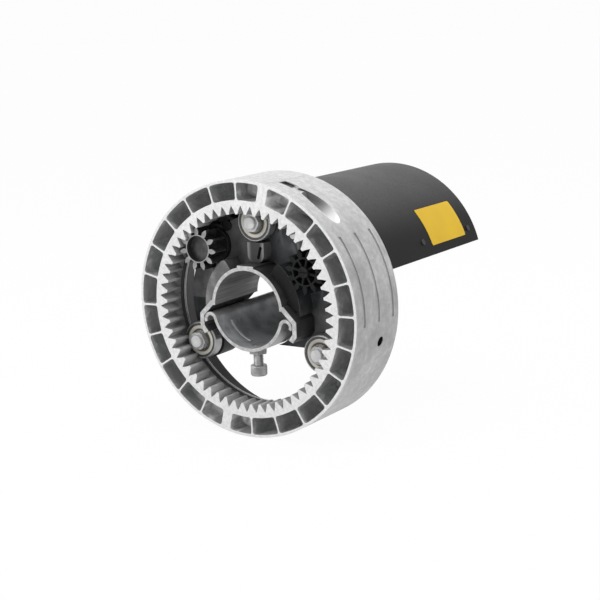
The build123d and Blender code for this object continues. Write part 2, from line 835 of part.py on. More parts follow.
with BuildPart() as motor_end_cap:
    with BuildSketch(facing(cap_rear)):
        with Locations(drive_centre):
            Circle(motor_r)
    extrude(amount=motor_cap_length)
    chamfer(motor_end_cap.faces().sort_by(Axis.Y)[-1].edges(), motor_r - brake_r - small_chamfer)
motor_end_cap.part.label = "motor_end_cap"
export_step(motor_end_cap.part, "parts/motor_end_cap.step")

with BuildPart() as brake_unit:
    with BuildSketch(facing(rear_plate_y)):
        with Locations(drive_centre):
            Circle(brake_r)
    extrude(amount=brake_length)
    with BuildSketch(facing(rear_plate_y - brake_groove)):
        with Locations(drive_centre):
            Circle(brake_r)
            Circle(brake_r - brake_groove, mode=Mode.SUBTRACT)
    extrude(amount=brake_groove, mode=Mode.SUBTRACT)
brake_unit.part.label = "brake_unit"
export_step(brake_unit.part, "parts/brake_unit.step")

# Capacitor lying above the shaft, its front end in a strap that hangs from the rod
capacitor_centre = around(capacitor_orbit, capacitor_angle)
with BuildPart() as capacitor:
    with BuildSketch(facing(bracket_y)):
        with Locations(capacitor_centre):
            Circle(capacitor_r)
    extrude(amount=capacitor_length)
    fillet(capacitor.faces().group_by(Axis.Y)[0].edges(), capacitor_corner_r)
capacitor.part.label = "capacitor"
export_step(capacitor.part, "parts/capacitor.step")

# Limit switch unit: a tray that carries the spindle, its cams and the switches
limit_tray_front = gearbox_front
limit_tray_rear = limit_tray_front + limit_tray_length
limit_plane = facing(limit_tray_rear)
with BuildPart() as limit_tray:
    with BuildSketch(limit_plane):
        with Locations(Location(limit_centre, -limit_angle)):
            Rectangle(limit_tray_width, limit_tray_height)
    extrude(amount=limit_tray_length)
    with BuildSketch(facing(limit_tray_rear - limit_tray_wall)):
        with Locations(Location(limit_centre, -limit_angle)):
            with Locations((0, limit_tray_wall)):
                Rectangle(limit_tray_width - 2 * limit_tray_wall, limit_tray_height)
    extrude(amount=limit_tray_length - 2 * limit_tray_wall, mode=Mode.SUBTRACT)
    with BuildSketch(limit_plane):
        with Locations(limit_centre):
            Circle(limit_shaft_r + running_gap)
    extrude(amount=limit_tray_length, mode=Mode.SUBTRACT)
limit_tray.part.label = "limit_tray"
export_step(limit_tray.part, "parts/limit_tray.step")

# Spindle of the limit gear with its slotted head and two cams
with BuildPart() as limit_spindle:
    with BuildSketch(limit_plane):
        with Locations(limit_centre):
            Circle(limit_shaft_r)
    extrude(amount=limit_tray_rear - limit_front)
    with BuildSketch(facing(limit_front)):
        with Locations(limit_centre):
            Circle(limit_hub_r)
    extrude(amount=spindle_head)
    with BuildSketch(facing(limit_front - spindle_head)):
        with Locations(limit_centre):
            Rectangle(2 * limit_hub_r, spindle_slot)
    extrude(amount=-spindle_slot, mode=Mode.SUBTRACT)
limit_spindle.part.label = "limit_spindle"
export_step(limit_spindle.part, "parts/limit_spindle.step")

with BuildPart() as limit_cams:
    for y in cam_ys:
        with BuildSketch(facing(y + cam_width / 2)):
            with Locations(limit_centre):
                Circle(cam_r)
                Circle(limit_shaft_r, mode=Mode.SUBTRACT)
            with Locations(Location(limit_centre, -limit_angle)):
                with Locations((0, cam_r)):
                    Rectangle(cam_r, 2 * spindle_head, mode=Mode.SUBTRACT)
        extrude(amount=cam_width)
limit_cams.part.label = "limit_cams"
export_step(limit_cams.part, "parts/limit_cams.step")

with BuildPart() as micro_switches:
    for y in cam_ys:
        with BuildSketch(facing(y + switch_length / 2)):
            with Locations(Location(limit_centre, -limit_angle)):
                with Locations((0, limit_tray_wall - limit_tray_height / 2)):
                    Rectangle(switch_width, switch_height, align=(Align.CENTER, Align.MIN))
        extrude(amount=switch_length)
micro_switches.part.label = "micro_switches"
export_step(micro_switches.part, "parts/micro_switches.step")

# Rod that ties the carrier, the bracket and the rear plate together
with BuildPart() as tie_rod:
    with BuildSketch(facing(plate_rear + rod_nut_height)):
        with Locations(rod_centre):
            Circle(rod_r)
    extrude(amount=plate_rear + rod_nut_height - carrier_front)
tie_rod.part.label = "tie_rod"
export_step(tie_rod.part, "parts/tie_rod.step")

with BuildPart() as rod_nuts:
    for y in (bracket_y, plate_rear + rod_nut_height):
        with BuildSketch(facing(y)):
            with Locations(rod_centre):
                RegularPolygon(rod_nut_flats / 2, 6, major_radius=False)
                Circle(rod_r, mode=Mode.SUBTRACT)
        extrude(amount=rod_nut_height)
rod_nuts.part.label = "rod_nuts"
export_step(rod_nuts.part, "parts/rod_nuts.step")

# Capacitor strap: a ring around the can with an arm to the rod
strap_reach = math.dist(capacitor_centre, rod_centre)
strap_turn = math.degrees(
    math.atan2(rod_centre[1] - capacitor_centre[1], rod_centre[0] - capacitor_centre[0])
)
with BuildPart() as capacitor_strap:
    with BuildSketch(facing(strap_y)):
        with Locations(capacitor_centre):
            Circle(capacitor_r + strap_wall)
        with Locations(Location(capacitor_centre, strap_turn)):
            Rectangle(strap_reach, strap_arm, align=(Align.MIN, Align.CENTER))
        with Locations(rod_centre):
            Circle(rod_r + strap_wall)
            Circle(rod_r, mode=Mode.SUBTRACT)
        with Locations(capacitor_centre):
            Circle(capacitor_r, mode=Mode.SUBTRACT)
    extrude(amount=strap_width)
capacitor_strap.part.label = "capacitor_strap"
export_step(capacitor_strap.part, "parts/capacitor_strap.step")

# Terminal block on the bracket's rear face
with BuildPart() as terminal_block:
    with BuildSketch(facing(bracket_rear + terminal_length)):
        with Locations(Location((0, 0), -terminal_angle)):
            with Locations((0, terminal_inner_r)):
                Rectangle(terminal_width, terminal_height, align=(Align.CENTER, Align.MIN))
    extrude(amount=terminal_length)
    for step in range(terminal_count):
        across = (step - (terminal_count - 1) / 2) * terminal_pitch
        with BuildSketch(facing(bracket_rear + terminal_length)):
            with Locations(Location((0, 0), -terminal_angle)):
                with Locations((across, terminal_inner_r + terminal_height / 2)):
                    Circle(terminal_screw_r)
        extrude(amount=terminal_height / 2, mode=Mode.SUBTRACT)
terminal_block.part.label = "terminal_block"
export_step(terminal_block.part, "parts/terminal_block.step")

with BuildPart() as terminal_screws:
    for step in range(terminal_count):
        across = (step - (terminal_count - 1) / 2) * terminal_pitch
        with BuildSketch(facing(bracket_rear + terminal_length - terminal_screw_r)):
            with Locations(Location((0, 0), -terminal_angle)):
                with Locations((across, terminal_inner_r + terminal_height / 2)):
                    Circle(terminal_screw_r)
        extrude(amount=terminal_height / 2 - terminal_screw_r)
terminal_screws.part.label = "terminal_screws"
export_step(terminal_screws.part, "parts/terminal_screws.step")


def cross_plate(front_y, wall, tab_front, tab_rear, screw_y):
    """Steel plate across the space under the cover, with a bent tab for each cover screw."""
    with BuildPart() as plate:
        with BuildSketch(facing(front_y + wall)):
            with BuildLine():
                rim = CenterArc((0, 0), plate_r, 90 - plate_half_angle, 2 * plate_half_angle)
                rest = CenterArc((0, 0), bore_r, 90 - plate_half_angle, 2 * plate_half_angle)
                Line(rim @ 0, rest @ 0)
                Line(rim @ 1, rest @ 1)
            make_face()
            with Locations(rod_centre):
                Circle(rod_r, mode=Mode.SUBTRACT)
        extrude(amount=wall)
        tab_turn = math.degrees(tab_width / plate_r)
        for angle in (-cover_screw_angle, cover_screw_angle):
            with BuildSketch(section(angle - tab_turn / 2)):
                with Locations((plate_r - tab_wall, tab_front)):
                    Rectangle(tab_wall, tab_rear - tab_front, align=(Align.MIN, Align.MIN))
            revolve(axis=Axis.Y, revolution_arc=tab_turn)
            with BuildSketch(outwards(plate_r - 2 * tab_wall, angle, screw_y)):
                Circle(cover_screw_r)
            extrude(amount=3 * tab_wall, mode=Mode.SUBTRACT)
    return plate.part


# Middle bracket around the motor can
with BuildPart() as middle_bracket:
    tab_end = bracket_rear + tab_length
    add(cross_plate(bracket_y, bracket_wall, bracket_y, tab_end, cover_screw_ys[0]))
    with BuildSketch(facing(bracket_rear)):
        with Locations(drive_centre):
            Circle(motor_r + seat_gap)
    extrude(amount=bracket_wall, mode=Mode.SUBTRACT)
middle_bracket.part.label = "middle_bracket"
export_step(middle_bracket.part, "parts/middle_bracket.step")

# Rear plate behind the brake
with BuildPart() as rear_plate:
    tab_start = rear_plate_y - tab_length
    add(cross_plate(rear_plate_y, rear_plate_wall, tab_start, plate_rear, cover_screw_ys[1]))
rear_plate.part.label = "rear_plate"
export_step(rear_plate.part, "parts/rear_plate.step")

# Cover: bent sheet over the motor
with BuildPart() as cover:
    with BuildSketch(section(-cover_half_angle)):
        with Locations((cover_r - cover_wall, cover_front)):
            Rectangle(cover_wall, cover_rear - cover_front, align=(Align.MIN, Align.MIN))
    revolve(axis=Axis.Y, revolution_arc=2 * cover_half_angle)
    for y in cover_screw_ys:
        for angle in (-cover_screw_angle, cover_screw_angle):
            with BuildSketch(outwards(plate_r - 2 * tab_wall, angle, y)):
                Circle(cover_screw_r)
            extrude(amount=5 * tab_wall, mode=Mode.SUBTRACT)
cover.part.label = "cover"
export_step(cover.part, "parts/cover.step")

with BuildPart() as cover_screws:
    for y in cover_screw_ys:
        for angle in (-cover_screw_angle, cover_screw_angle):
            head_plane = outwards(cover_r, angle, y)
            with BuildSketch(head_plane):
                Circle(cover_head_r)
            extrude(amount=cover_head_height)
            with BuildSketch(head_plane):
                Circle(cover_screw_r)
            extrude(amount=-cover_screw_length)
cover_screws.part.label = "cover_screws"
export_step(cover_screws.part, "parts/cover_screws.step")

# Screws that hold the gearbox on the carrier
with BuildPart() as flange_screws:
    with BuildSketch(facing(carrier_front)):
        with Locations(*flange_screw_places):
            Circle(m5_head_r)
    extrude(amount=m5_head_height)
    with BuildSketch(facing(carrier_front)):
        with Locations(*flange_screw_places):
            Circle(m5_r)
    extrude(amount=-m5_length)
flange_screws.part.label = "flange_screws"
export_step(flange_screws.part, "parts/flange_screws.step")
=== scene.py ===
import math

import bmesh
import bpy
from mathutils import Matrix, Vector


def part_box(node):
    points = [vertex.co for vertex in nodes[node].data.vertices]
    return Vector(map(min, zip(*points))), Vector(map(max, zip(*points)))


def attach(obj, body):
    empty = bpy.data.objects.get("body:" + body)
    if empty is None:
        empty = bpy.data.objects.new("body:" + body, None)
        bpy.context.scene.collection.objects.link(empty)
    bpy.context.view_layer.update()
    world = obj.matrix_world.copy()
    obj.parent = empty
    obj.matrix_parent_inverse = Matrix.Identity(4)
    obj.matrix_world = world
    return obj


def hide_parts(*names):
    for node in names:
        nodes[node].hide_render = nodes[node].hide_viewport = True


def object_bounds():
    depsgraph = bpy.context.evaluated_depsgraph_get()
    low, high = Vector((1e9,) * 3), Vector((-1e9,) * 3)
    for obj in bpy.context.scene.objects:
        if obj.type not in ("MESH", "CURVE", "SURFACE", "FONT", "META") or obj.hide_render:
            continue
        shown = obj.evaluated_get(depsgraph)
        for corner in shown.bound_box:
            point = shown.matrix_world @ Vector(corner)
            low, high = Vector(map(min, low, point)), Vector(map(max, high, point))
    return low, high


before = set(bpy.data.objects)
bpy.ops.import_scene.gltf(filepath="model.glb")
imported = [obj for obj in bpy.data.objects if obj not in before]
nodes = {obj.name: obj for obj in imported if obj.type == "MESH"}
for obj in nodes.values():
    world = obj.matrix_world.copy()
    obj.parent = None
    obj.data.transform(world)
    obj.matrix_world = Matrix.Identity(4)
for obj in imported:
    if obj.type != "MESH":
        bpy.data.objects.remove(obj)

cad_low, cad_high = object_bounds()
scene = bpy.context.scene

# Places that the looks need, in metres. The shaft runs along Y, the crown's open front is at -Y.
CROWN_R = 0.100
CROWN_FRONT = -0.031
CELL_INNER_R = 0.0845
CELL_OUTER_R = 0.098
CELL_FLOOR = -0.001
TRACK_R = 0.0806
TRACK_FRONT = -0.0143
SKIRT_INNER_R = 0.094
CHEEK_FRONT = -0.020
LIP_FRONT, LIP_REAR = -0.003, -0.0005
POST_HALF, POST_HEIGHTS = 0.0076, (0.0335, 0.0505)
SPLIT = math.radians(13.2)
SCREW_R, SCREW_Y, SCREW_SEAT, SCREW_POCKET_R = 0.091, -0.0085, 0.014, 0.008
WINDOW_START, WINDOW_HALF = 0.0012, 0.0052
FIXING_HOLE = (math.radians(103.2), 0.007, 0.0042)
TROUGH_INNER_R = 0.0307
SADDLE_FRONT = -0.0268
PINION_FACE, CUP_FLOOR, CUP_R = -0.0278, -0.0225, 0.01025
RING_GROOVE_R = 0.0139
BOLT_Y, BOLT_LENGTH, BOLT_R, BOLT_PITCH = -0.014, 0.016, 0.004, 0.00125
HEAD_R, HEAD_HEIGHT, SOCKET_FLATS, SOCKET_DEPTH = 0.0062, 0.008, 0.006, 0.004
RIDGE_R, RIDGE_HEIGHT, RIDGE_COUNT = 0.0003, 0.0066, 52
COVER_R = 0.0875
COVER_ENDS = (0.021, 0.202)
DRIVE_CENTRE = (-0.0436491, 0.0444177)
LIMIT_CENTRE = (0.0530413, 0.0326312)
BEARING_CENTRES = [
    (0.0653 * math.sin(math.radians(turn)), 0.0653 * math.cos(math.radians(turn)))
    for turn in (0, 120, 240)
]


# Shader and geometry maths written as sums

class Field:
    """A value, vector or colour in a tree; sums and products of fields add the nodes they need."""

    def __init__(self, tree, socket):
        self.tree, self.socket = tree, socket

    def _with(self, operation, first, second=0.0, clamp=False):
        settings = {"operation": operation, "use_clamp": clamp}
        return self.tree.node("ShaderNodeMath", settings, {0: first, 1: second})

    def __add__(self, other):
        return self._with("ADD", self, other)

    def __sub__(self, other):
        return self._with("SUBTRACT", self, other)

    def __rsub__(self, other):
        return self._with("SUBTRACT", other, self)

    def __mul__(self, other):
        return self._with("MULTIPLY", self, other)

    def __truediv__(self, other):
        return self._with("DIVIDE", self, other)

    def __pow__(self, other):
        return self._with("POWER", self, other)

    __radd__ = __add__
    __rmul__ = __mul__

    def over(self, limit):
        return self._with("GREATER_THAN", self, limit)

    def under(self, limit):
        return self._with("LESS_THAN", self, limit)

    def least(self, other):
        return self._with("MINIMUM", self, other)

    def most(self, other):
        return self._with("MAXIMUM", self, other)

    def between(self, low, high):
        return self.over(low) * self.under(high)

    def ramp(self, low, high, start=0.0, end=1.0):
        """Runs from start to end, softly, as this field goes from low to high."""
        settings = {"interpolation_type": "SMOOTHSTEP"}
        inputs = {0: self, 1: low, 2: high, 3: start, 4: end}
        return self.tree.node("ShaderNodeMapRange", settings, inputs)


class Tree:
    """A node tree with one way to add any node."""

    def __init__(self, tree):
        self.tree = tree

    def node(self, kind, settings=None, inputs=None, out=0):
        made = self.tree.nodes.new(kind)
        for key, value in (settings or {}).items():
            if key == "stops":
                stops = made.color_ramp.elements
                while len(stops) < len(value):
                    stops.new(1.0)
                for stop, (place, colour) in zip(stops, value):
                    stop.position, stop.color = place, (*colour, 1.0)
            else:
                setattr(made, key, value)
        for key, value in (inputs or {}).items():
            self.feed(made.inputs[key], value)
        return Field(self, made.outputs[out])

    def seen(self):
        """1 for rays that show the studio: to the camera, in gloss or through glass."""
        path = self.node("ShaderNodeLightPath").socket.node
        rays = ("Is Camera Ray", "Is Glossy Ray", "Is Transmission Ray")
        shown = [Field(self, path.outputs[ray]) for ray in rays]
        return (shown[0] + shown[1] + shown[2]).least(1.0)

    def feed(self, socket, value):
        if isinstance(value, Field):
            self.tree.links.new(value.socket, socket)
        else:
            socket.default_value = value


class Finish(Tree):
    """One finish of the object: a shader, and the place on the surface that drives it."""

    def __init__(self, name, coat=0.0, gloss=0.5):
        self.material = bpy.data.materials.new(name)
        self.material.use_nodes = True
        super().__init__(self.material.node_tree)
        self.shader = self.tree.nodes["Principled BSDF"]
        self.shader.inputs["Coat Weight"].default_value = coat
        self.shader.inputs["Specular IOR Level"].default_value = gloss
        self.shader.inputs["Coat Roughness"].default_value = 0.25
        self.place = self.node("ShaderNodeTexCoord", out="Object")
        parts = self.node("ShaderNodeSeparateXYZ", inputs={0: self.place}).socket.node
        self.x, self.y, self.z = (Field(self, parts.outputs[axis]) for axis in range(3))
        self.heights = []

    def distance(self, centre=(0.0, 0.0)):
        """Distance from an axis along Y through (x, z)."""
        across, up = self.x - centre[0], self.z - centre[1]
        return (across * across + up * up) ** 0.5

    def fixing_hole(self):
        """1 around the axis of the two fixing holes, which points outwards from the shaft."""
        turn, along, size = FIXING_HOLE
        aside = self.x * math.cos(turn) - self.z * math.sin(turn)
        ahead = self.y - along
        return ((aside * aside + ahead * ahead) ** 0.5).under(size)

    def nearest(self, centres):
        found = self.distance(centres[0])
        for centre in centres[1:]:
            found = found.least(self.distance(centre))
        return found

    def turn(self, centre=(0.0, 0.0)):
        """Angle around an axis along Y through (x, z), in radians."""
        return self._angle(self.x - centre[0], self.z - centre[1])

    def _angle(self, across, up):
        return self.node("ShaderNodeMath", {"operation": "ARCTAN2"}, {0: across, 1: up})

    def stretched(self, scale):
        return self.node("ShaderNodeMapping", None, {"Vector": self.place, "Scale": scale})

    def at(self, x, y, z):
        return self.node("ShaderNodeCombineXYZ", None, {0: x, 1: y, 2: z})

    def noise(self, scale, detail=2.0, stretch=(1, 1, 1), where=None, roughness=0.5, warp=0.0):
        where = where or (self.place if stretch == (1, 1, 1) else self.stretched(stretch))
        inputs = {
            "Vector": where, "Scale": scale, "Detail": detail,
            "Roughness": roughness, "Distortion": warp,
        }
        return self.node("ShaderNodeTexNoise", None, inputs)

    def blend(self, mask, first, second):
        def colour(value):
            return value if isinstance(value, Field) else (*value, 1.0)
        inputs = {0: mask, 6: colour(first), 7: colour(second)}
        return self.node("ShaderNodeMix", {"data_type": "RGBA"}, inputs, out=2)

    def edge(self, width):
        """1 along the shape's edges and 0 on its faces."""
        soft = self.node("ShaderNodeBevel", {"samples": 4}, {"Radius": width})
        flat = self.node("ShaderNodeNewGeometry", out="Normal")
        settings = {"operation": "DOT_PRODUCT"}
        meeting = self.node("ShaderNodeVectorMath", settings, {0: soft, 1: flat}, out="Value")
        return (1.0 - meeting).ramp(0.015, 0.16)

    def raised(self, height, depth):
        """Adds a height, in metres, to the surface's relief."""
        self.heights.append(height * depth)

    def paint(self, colour, roughness, metallic=None, round_edges=0.0004):
        shader = self.shader
        self.feed(shader.inputs["Base Color"], colour)
        self.feed(shader.inputs["Roughness"], roughness)
        if metallic is not None:
            self.feed(shader.inputs["Metallic"], metallic)
        soft = self.node("ShaderNodeBevel", {"samples": 4}, {"Radius": round_edges})
        relief = self.heights[0]
        for height in self.heights[1:]:
            relief = relief + height
        inputs = {"Strength": 1.0, "Distance": 1.0, "Height": relief, "Normal": soft}
        self.feed(shader.inputs["Normal"], self.node("ShaderNodeBump", None, inputs))
        return self.material


def grey(level, warm=0.0):
    return (level * (1 + warm), level, level * (1 - warm))


# Finishes

def cast_crown():
    """Light cast aluminium: turned rims, rougher cells, painted shade deeper between the teeth."""
    finish = Finish("cast_aluminium")
    radius, y = finish.distance(), finish.y
    front = y.under(CROWN_FRONT + 0.0002)
    behind = y.over(CROWN_FRONT + 0.0002)
    cell = radius.between(CELL_INNER_R - 0.0003, CELL_OUTER_R + 0.0002)
    cell = cell * behind * y.under(CELL_FLOOR + 0.0002)
    inside = radius.under(TRACK_R + 0.0006) * behind
    track = inside * y.over(TRACK_FRONT)
    skirt = radius.between(TRACK_R + 0.0008, SKIRT_INNER_R + 0.0004)
    skirt = skirt * y.over(CELL_FLOOR + 0.003)
    skin = radius.over(CROWN_R - 0.0007)
    beside = finish.x * math.cos(SPLIT) - finish.z * math.sin(SPLIT)
    above = finish.x * math.sin(SPLIT) + finish.z * math.cos(SPLIT) - SCREW_R
    along_screw = y - SCREW_Y
    pocket = ((above * above + along_screw * along_screw) ** 0.5).under(SCREW_POCKET_R + 0.0003)
    pocket = pocket * beside.over(SCREW_SEAT - 0.0002)
    slot = radius.between(CROWN_R - 0.0030, CROWN_R - 0.0008)
    slot = slot * beside.between(WINDOW_START, SCREW_SEAT + 0.0006)
    slot = slot * (along_screw * along_screw).under(WINDOW_HALF ** 2) * finish.z.over(0.0)
    split_line = (beside * beside).under(0.0003 ** 2) * skin
    cloud = finish.noise(38, 4, roughness=0.6)
    blotch = finish.noise(75, 3, roughness=0.55, warp=0.8)
    fine = finish.noise(420, 3)
    wrapped = finish.at(finish.turn() * 0.035, y, radius)
    streak = finish.noise(60, 3, where=wrapped, roughness=0.65, warp=0.5)
    drawn = finish.noise(1.0, 3, where=finish.at(finish.turn() * 2.5, y * 900, radius * 60))
    depth = y.ramp(CROWN_FRONT, CELL_FLOOR)
    grain = finish.noise(230, 4, roughness=0.7)
    sloping = finish.at(finish.turn() * 0.16 + y, y * 0.22, 0.0)
    slanted = finish.noise(45, 3, where=sloping, roughness=0.6, warp=0.6)
    skin_colour = finish.blend(cloud.ramp(0.35, 0.68), grey(0.36), grey(0.50))
    skin_colour = finish.blend(streak.ramp(0.42, 0.7) * 0.5, skin_colour, grey(0.64))
    # darker slanted streaks on the skin, stronger towards the bottom
    dark_slanted_streaks = slanted.ramp(0.42, 0.6) * finish.z.ramp(-0.09, 0.03, 0.42, 0.12)
    skin_colour = finish.blend(dark_slanted_streaks, skin_colour, grey(0.26))
    # painted light: the skin is painted lighter towards the bottom
    skin_colour = finish.blend(finish.z.ramp(-0.09, -0.02, 0.45, 0.0), skin_colour, grey(0.7))
    skin_colour = finish.blend(grain.ramp(0.4, 0.62, 0.28, 0.0), skin_colour, grey(0.22))
    # painted light: the top of the skin is painted paler, as if lit from above
    pale = finish.z.ramp(0.045, 0.1)
    painted_light_top_colour = finish.blend(grain.ramp(0.4, 0.6), grey(0.52), grey(0.64))
    skin_colour = finish.blend(pale * 0.85, skin_colour, painted_light_top_colour)
    turned = finish.noise(1.0, 1, where=finish.at(0.0, y * 1500, 0.0)).ramp(0.5, 0.56)
    turned = turned * y.ramp(CROWN_FRONT, CROWN_FRONT + 0.008, 1.0, 0.0)
    turned = turned * finish.z.ramp(-0.07, -0.01, 0.8, 0.1)
    skin_colour = finish.blend(turned, skin_colour, grey(0.85))
    skin_colour = finish.blend(split_line * 0.6, skin_colour, grey(0.2))
    rim_colour = finish.blend(fine.ramp(0.3, 0.7), grey(0.66), grey(0.78))
    # painted light: the cells are painted lighter towards their floor, standing in for light reaching into them
    cell_colour = finish.blend(depth, grey(0.30, -0.01), grey(0.80, -0.01))
    cell_colour = finish.blend(blotch.ramp(0.5, 0.66) * 0.5, cell_colour, grey(0.85))
    cell_colour = finish.blend(grain.ramp(0.4, 0.65, 0.35, 0.0), cell_colour, grey(0.3))
    beside_screw = (beside * beside).ramp(0.008 ** 2, 0.030 ** 2, 1.0, 0.0)
    # painted highlight: bright streaks are painted in the cells beside the screw
    painted_highlight_streaks = finish.noise(120, 2, stretch=(1, 0.15, 1)).ramp(0.45, 0.62)
    cell_colour = finish.blend(beside_screw * painted_highlight_streaks * 0.8, cell_colour, grey(0.95))
    flank = finish.noise(240, 3, stretch=(1, 0.12, 1), roughness=0.6)
    tooth_colour = finish.blend(flank.ramp(0.36, 0.64), grey(0.32), grey(0.52))
    # painted light: the lower tooth flanks are painted lighter
    tooth_colour = finish.blend(finish.z.ramp(-0.075, -0.02, 0.2, 0.0), tooth_colour, grey(0.7))
    # painted shade: the tooth flanks are painted darker deeper between the teeth
    shaded = y.ramp(TRACK_FRONT - 0.009, TRACK_FRONT, 0.0, 0.65)
    tooth_colour = finish.blend(shaded, tooth_colour, grey(0.17))
    track_colour = finish.blend(flank.ramp(0.36, 0.64), grey(0.24), grey(0.38))
    # painted shade: a near black colour for the track behind the lip's front and for the skirt, deep inside the
    # ring
    painted_shade_colour = finish.blend(cloud.ramp(0.35, 0.7), grey(0.07), grey(0.13))
    track_colour = finish.blend(y.over(LIP_FRONT - 0.0015), track_colour, painted_shade_colour)
    lip = radius.under(TRACK_R - 0.0019) * y.between(LIP_FRONT + 0.0001, LIP_REAR + 0.0004)
    # painted highlight: a bright band is painted across the lip; the rest of the lip is painted dark as painted
    # shade
    lip_painted_highlight = y.between(LIP_FRONT + 0.0006, LIP_REAR - 0.0012)
    lip_highlight_and_shade = finish.blend(lip_painted_highlight, grey(0.95), grey(0.2))
    # painted shade and highlight: the screw pocket is painted dark at its start and light towards its rounded end
    pocket_shade_and_highlight = finish.blend(beside.ramp(0.030, 0.048), grey(0.34), grey(0.76))
    # painted shadow: the slot is painted near black at its start, lighter over the bridge and the pocket beyond
    slot_shadow_colour = finish.blend(beside.ramp(0.009, 0.012), grey(0.06), grey(0.62))
    colour = finish.blend(skin, grey(0.42), skin_colour)
    colour = finish.blend(cell, colour, cell_colour)
    colour = finish.blend(inside, colour, tooth_colour)
    colour = finish.blend(track, colour, track_colour)
    colour = finish.blend(skirt, colour, painted_shade_colour)
    colour = finish.blend(lip, colour, lip_highlight_and_shade)
    colour = finish.blend(pocket * behind, colour, pocket_shade_and_highlight)
    colour = finish.blend(slot, colour, slot_shadow_colour)
    colour = finish.blend(front, colour, rim_colour)
    worn = finish.edge(0.0005) * (1.0 - cell * 0.6) * (1.0 - inside * 0.7)
    worn = worn * cloud.ramp(0.3, 0.6, 0.4, 1.0)
    colour = finish.blend(worn * 0.6, colour, grey(0.86))
    # painted shade: the fixing holes' bores are painted near black
    hole_painted_shade = finish.fixing_hole() * radius.under(CROWN_R - 0.0005)
    colour = finish.blend(hole_painted_shade, colour, grey(0.008))
    rough = front * -0.12 + cloud.ramp(0.3, 0.7, 0.42, 0.58) + cell * 0.14
    finish.raised(fine, 0.00003)
    finish.raised(finish.noise(150, 2), 0.00008)
    finish.raised(drawn * skin, 0.000012)
    metallic = (0.35 + front * 0.1 - cell * 0.32 - inside * 0.22 - skin * pale * 0.12).most(0.0)
    return finish.paint(colour, rough, metallic=metallic)


def turned_steel(name, centres, dark, bright, rough, metallic=0.85, tint=0.0, gloss=0.5):
    """Steel turned about one or more axes, with fine rings on its faces."""
    finish = Finish(name, gloss=gloss)
    radius = finish.nearest(centres)
    rings = finish.noise(1.0, 2, where=finish.at(radius * 2600, 0.0, 0.0))
    cloud = finish.noise(160, 3)
    colour = finish.blend(cloud.ramp(0.3, 0.7), grey(dark, tint), grey(bright, tint))
    worn = finish.edge(0.0004)
    colour = finish.blend(worn * 0.6, colour, grey(min(0.9, bright * 1.35)))
    finish.raised(rings, 0.000012)
    finish.raised(finish.noise(700, 2), 0.000008)
    return finish.paint(colour, cloud.ramp(0.3, 0.7, rough - 0.06, rough + 0.1), metallic=metallic)


def pinion_steel():
    """Sintered steel: grey tooth faces, near black flanks and hub, a dull floor in the cup."""
    finish = Finish("pinion_steel")
    radius, y = finish.distance(DRIVE_CENTRE), finish.y
    cloud = finish.noise(190, 4)
    face = y.under(PINION_FACE)
    cup = radius.under(CUP_R) * y.over(PINION_FACE - 0.0001)
    floor = cup * y.over(CUP_FLOOR)
    colour = finish.blend(cloud.ramp(0.35, 0.65), grey(0.014), grey(0.035))
    colour = finish.blend(face, colour, finish.blend(cloud.ramp(0.3, 0.7), grey(0.22), grey(0.34)))
    colour = finish.blend(cup, colour, grey(0.03))
    dull = finish.blend(cloud.ramp(0.4, 0.7), grey(0.045, 0.03), grey(0.085, 0.02))
    colour = finish.blend(floor, colour, dull)
    colour = finish.blend(finish.edge(0.0004) * 0.5 * (1.0 - cup), colour, grey(0.42))
    finish.raised(finish.noise(900, 2), 0.00003)
    finish.raised(cloud, 0.00003)
    return finish.paint(colour, cloud.ramp(0.3, 0.7, 0.42, 0.56), metallic=0.3)


def gearbox_casting():
    """Grey housing whose nose, in front of the carrier, is near black."""
    finish = Finish("gearbox_casting")
    cloud = finish.noise(55, 4, roughness=0.62)
    grain = finish.noise(380, 3)
    colour = finish.blend(cloud.ramp(0.32, 0.68), grey(0.10), grey(0.19))
    colour = finish.blend(grain.ramp(0.62, 0.8) * 0.4, colour, grey(0.28))
    colour = finish.blend(finish.y.under(0.0), colour, grey(0.018))
    colour = finish.blend(finish.edge(0.0006) * cloud.ramp(0.35, 0.6) * 0.5, colour, grey(0.3))
    finish.raised(grain, 0.0001)
    finish.raised(finish.noise(120, 2), 0.0001)
    return finish.paint(colour, cloud.ramp(0.3, 0.7, 0.48, 0.62), metallic=0.25)


def zinc_steel(name, dark, bright, along, rough=0.34, metallic=0.8):
    """Zinc plated steel sheet or bar, with drawing lines along it."""
    finish = Finish(name)
    cloud = finish.noise(70, 4, roughness=0.6)
    lines = finish.noise(700, 2, stretch=along)
    colour = finish.blend(cloud.ramp(0.35, 0.65), grey(dark), grey(bright))
    colour = finish.blend(lines.ramp(0.45, 0.75) * 0.35, colour, grey(bright * 1.15))
    colour = finish.blend(finish.edge(0.0004) * 0.7, colour, grey(0.85))
    finish.raised(lines, 0.00002)
    finish.raised(finish.noise(220, 2), 0.00003)
    return finish.paint(colour, cloud.ramp(0.3, 0.7, rough - 0.06, rough + 0.1), metallic=metallic)


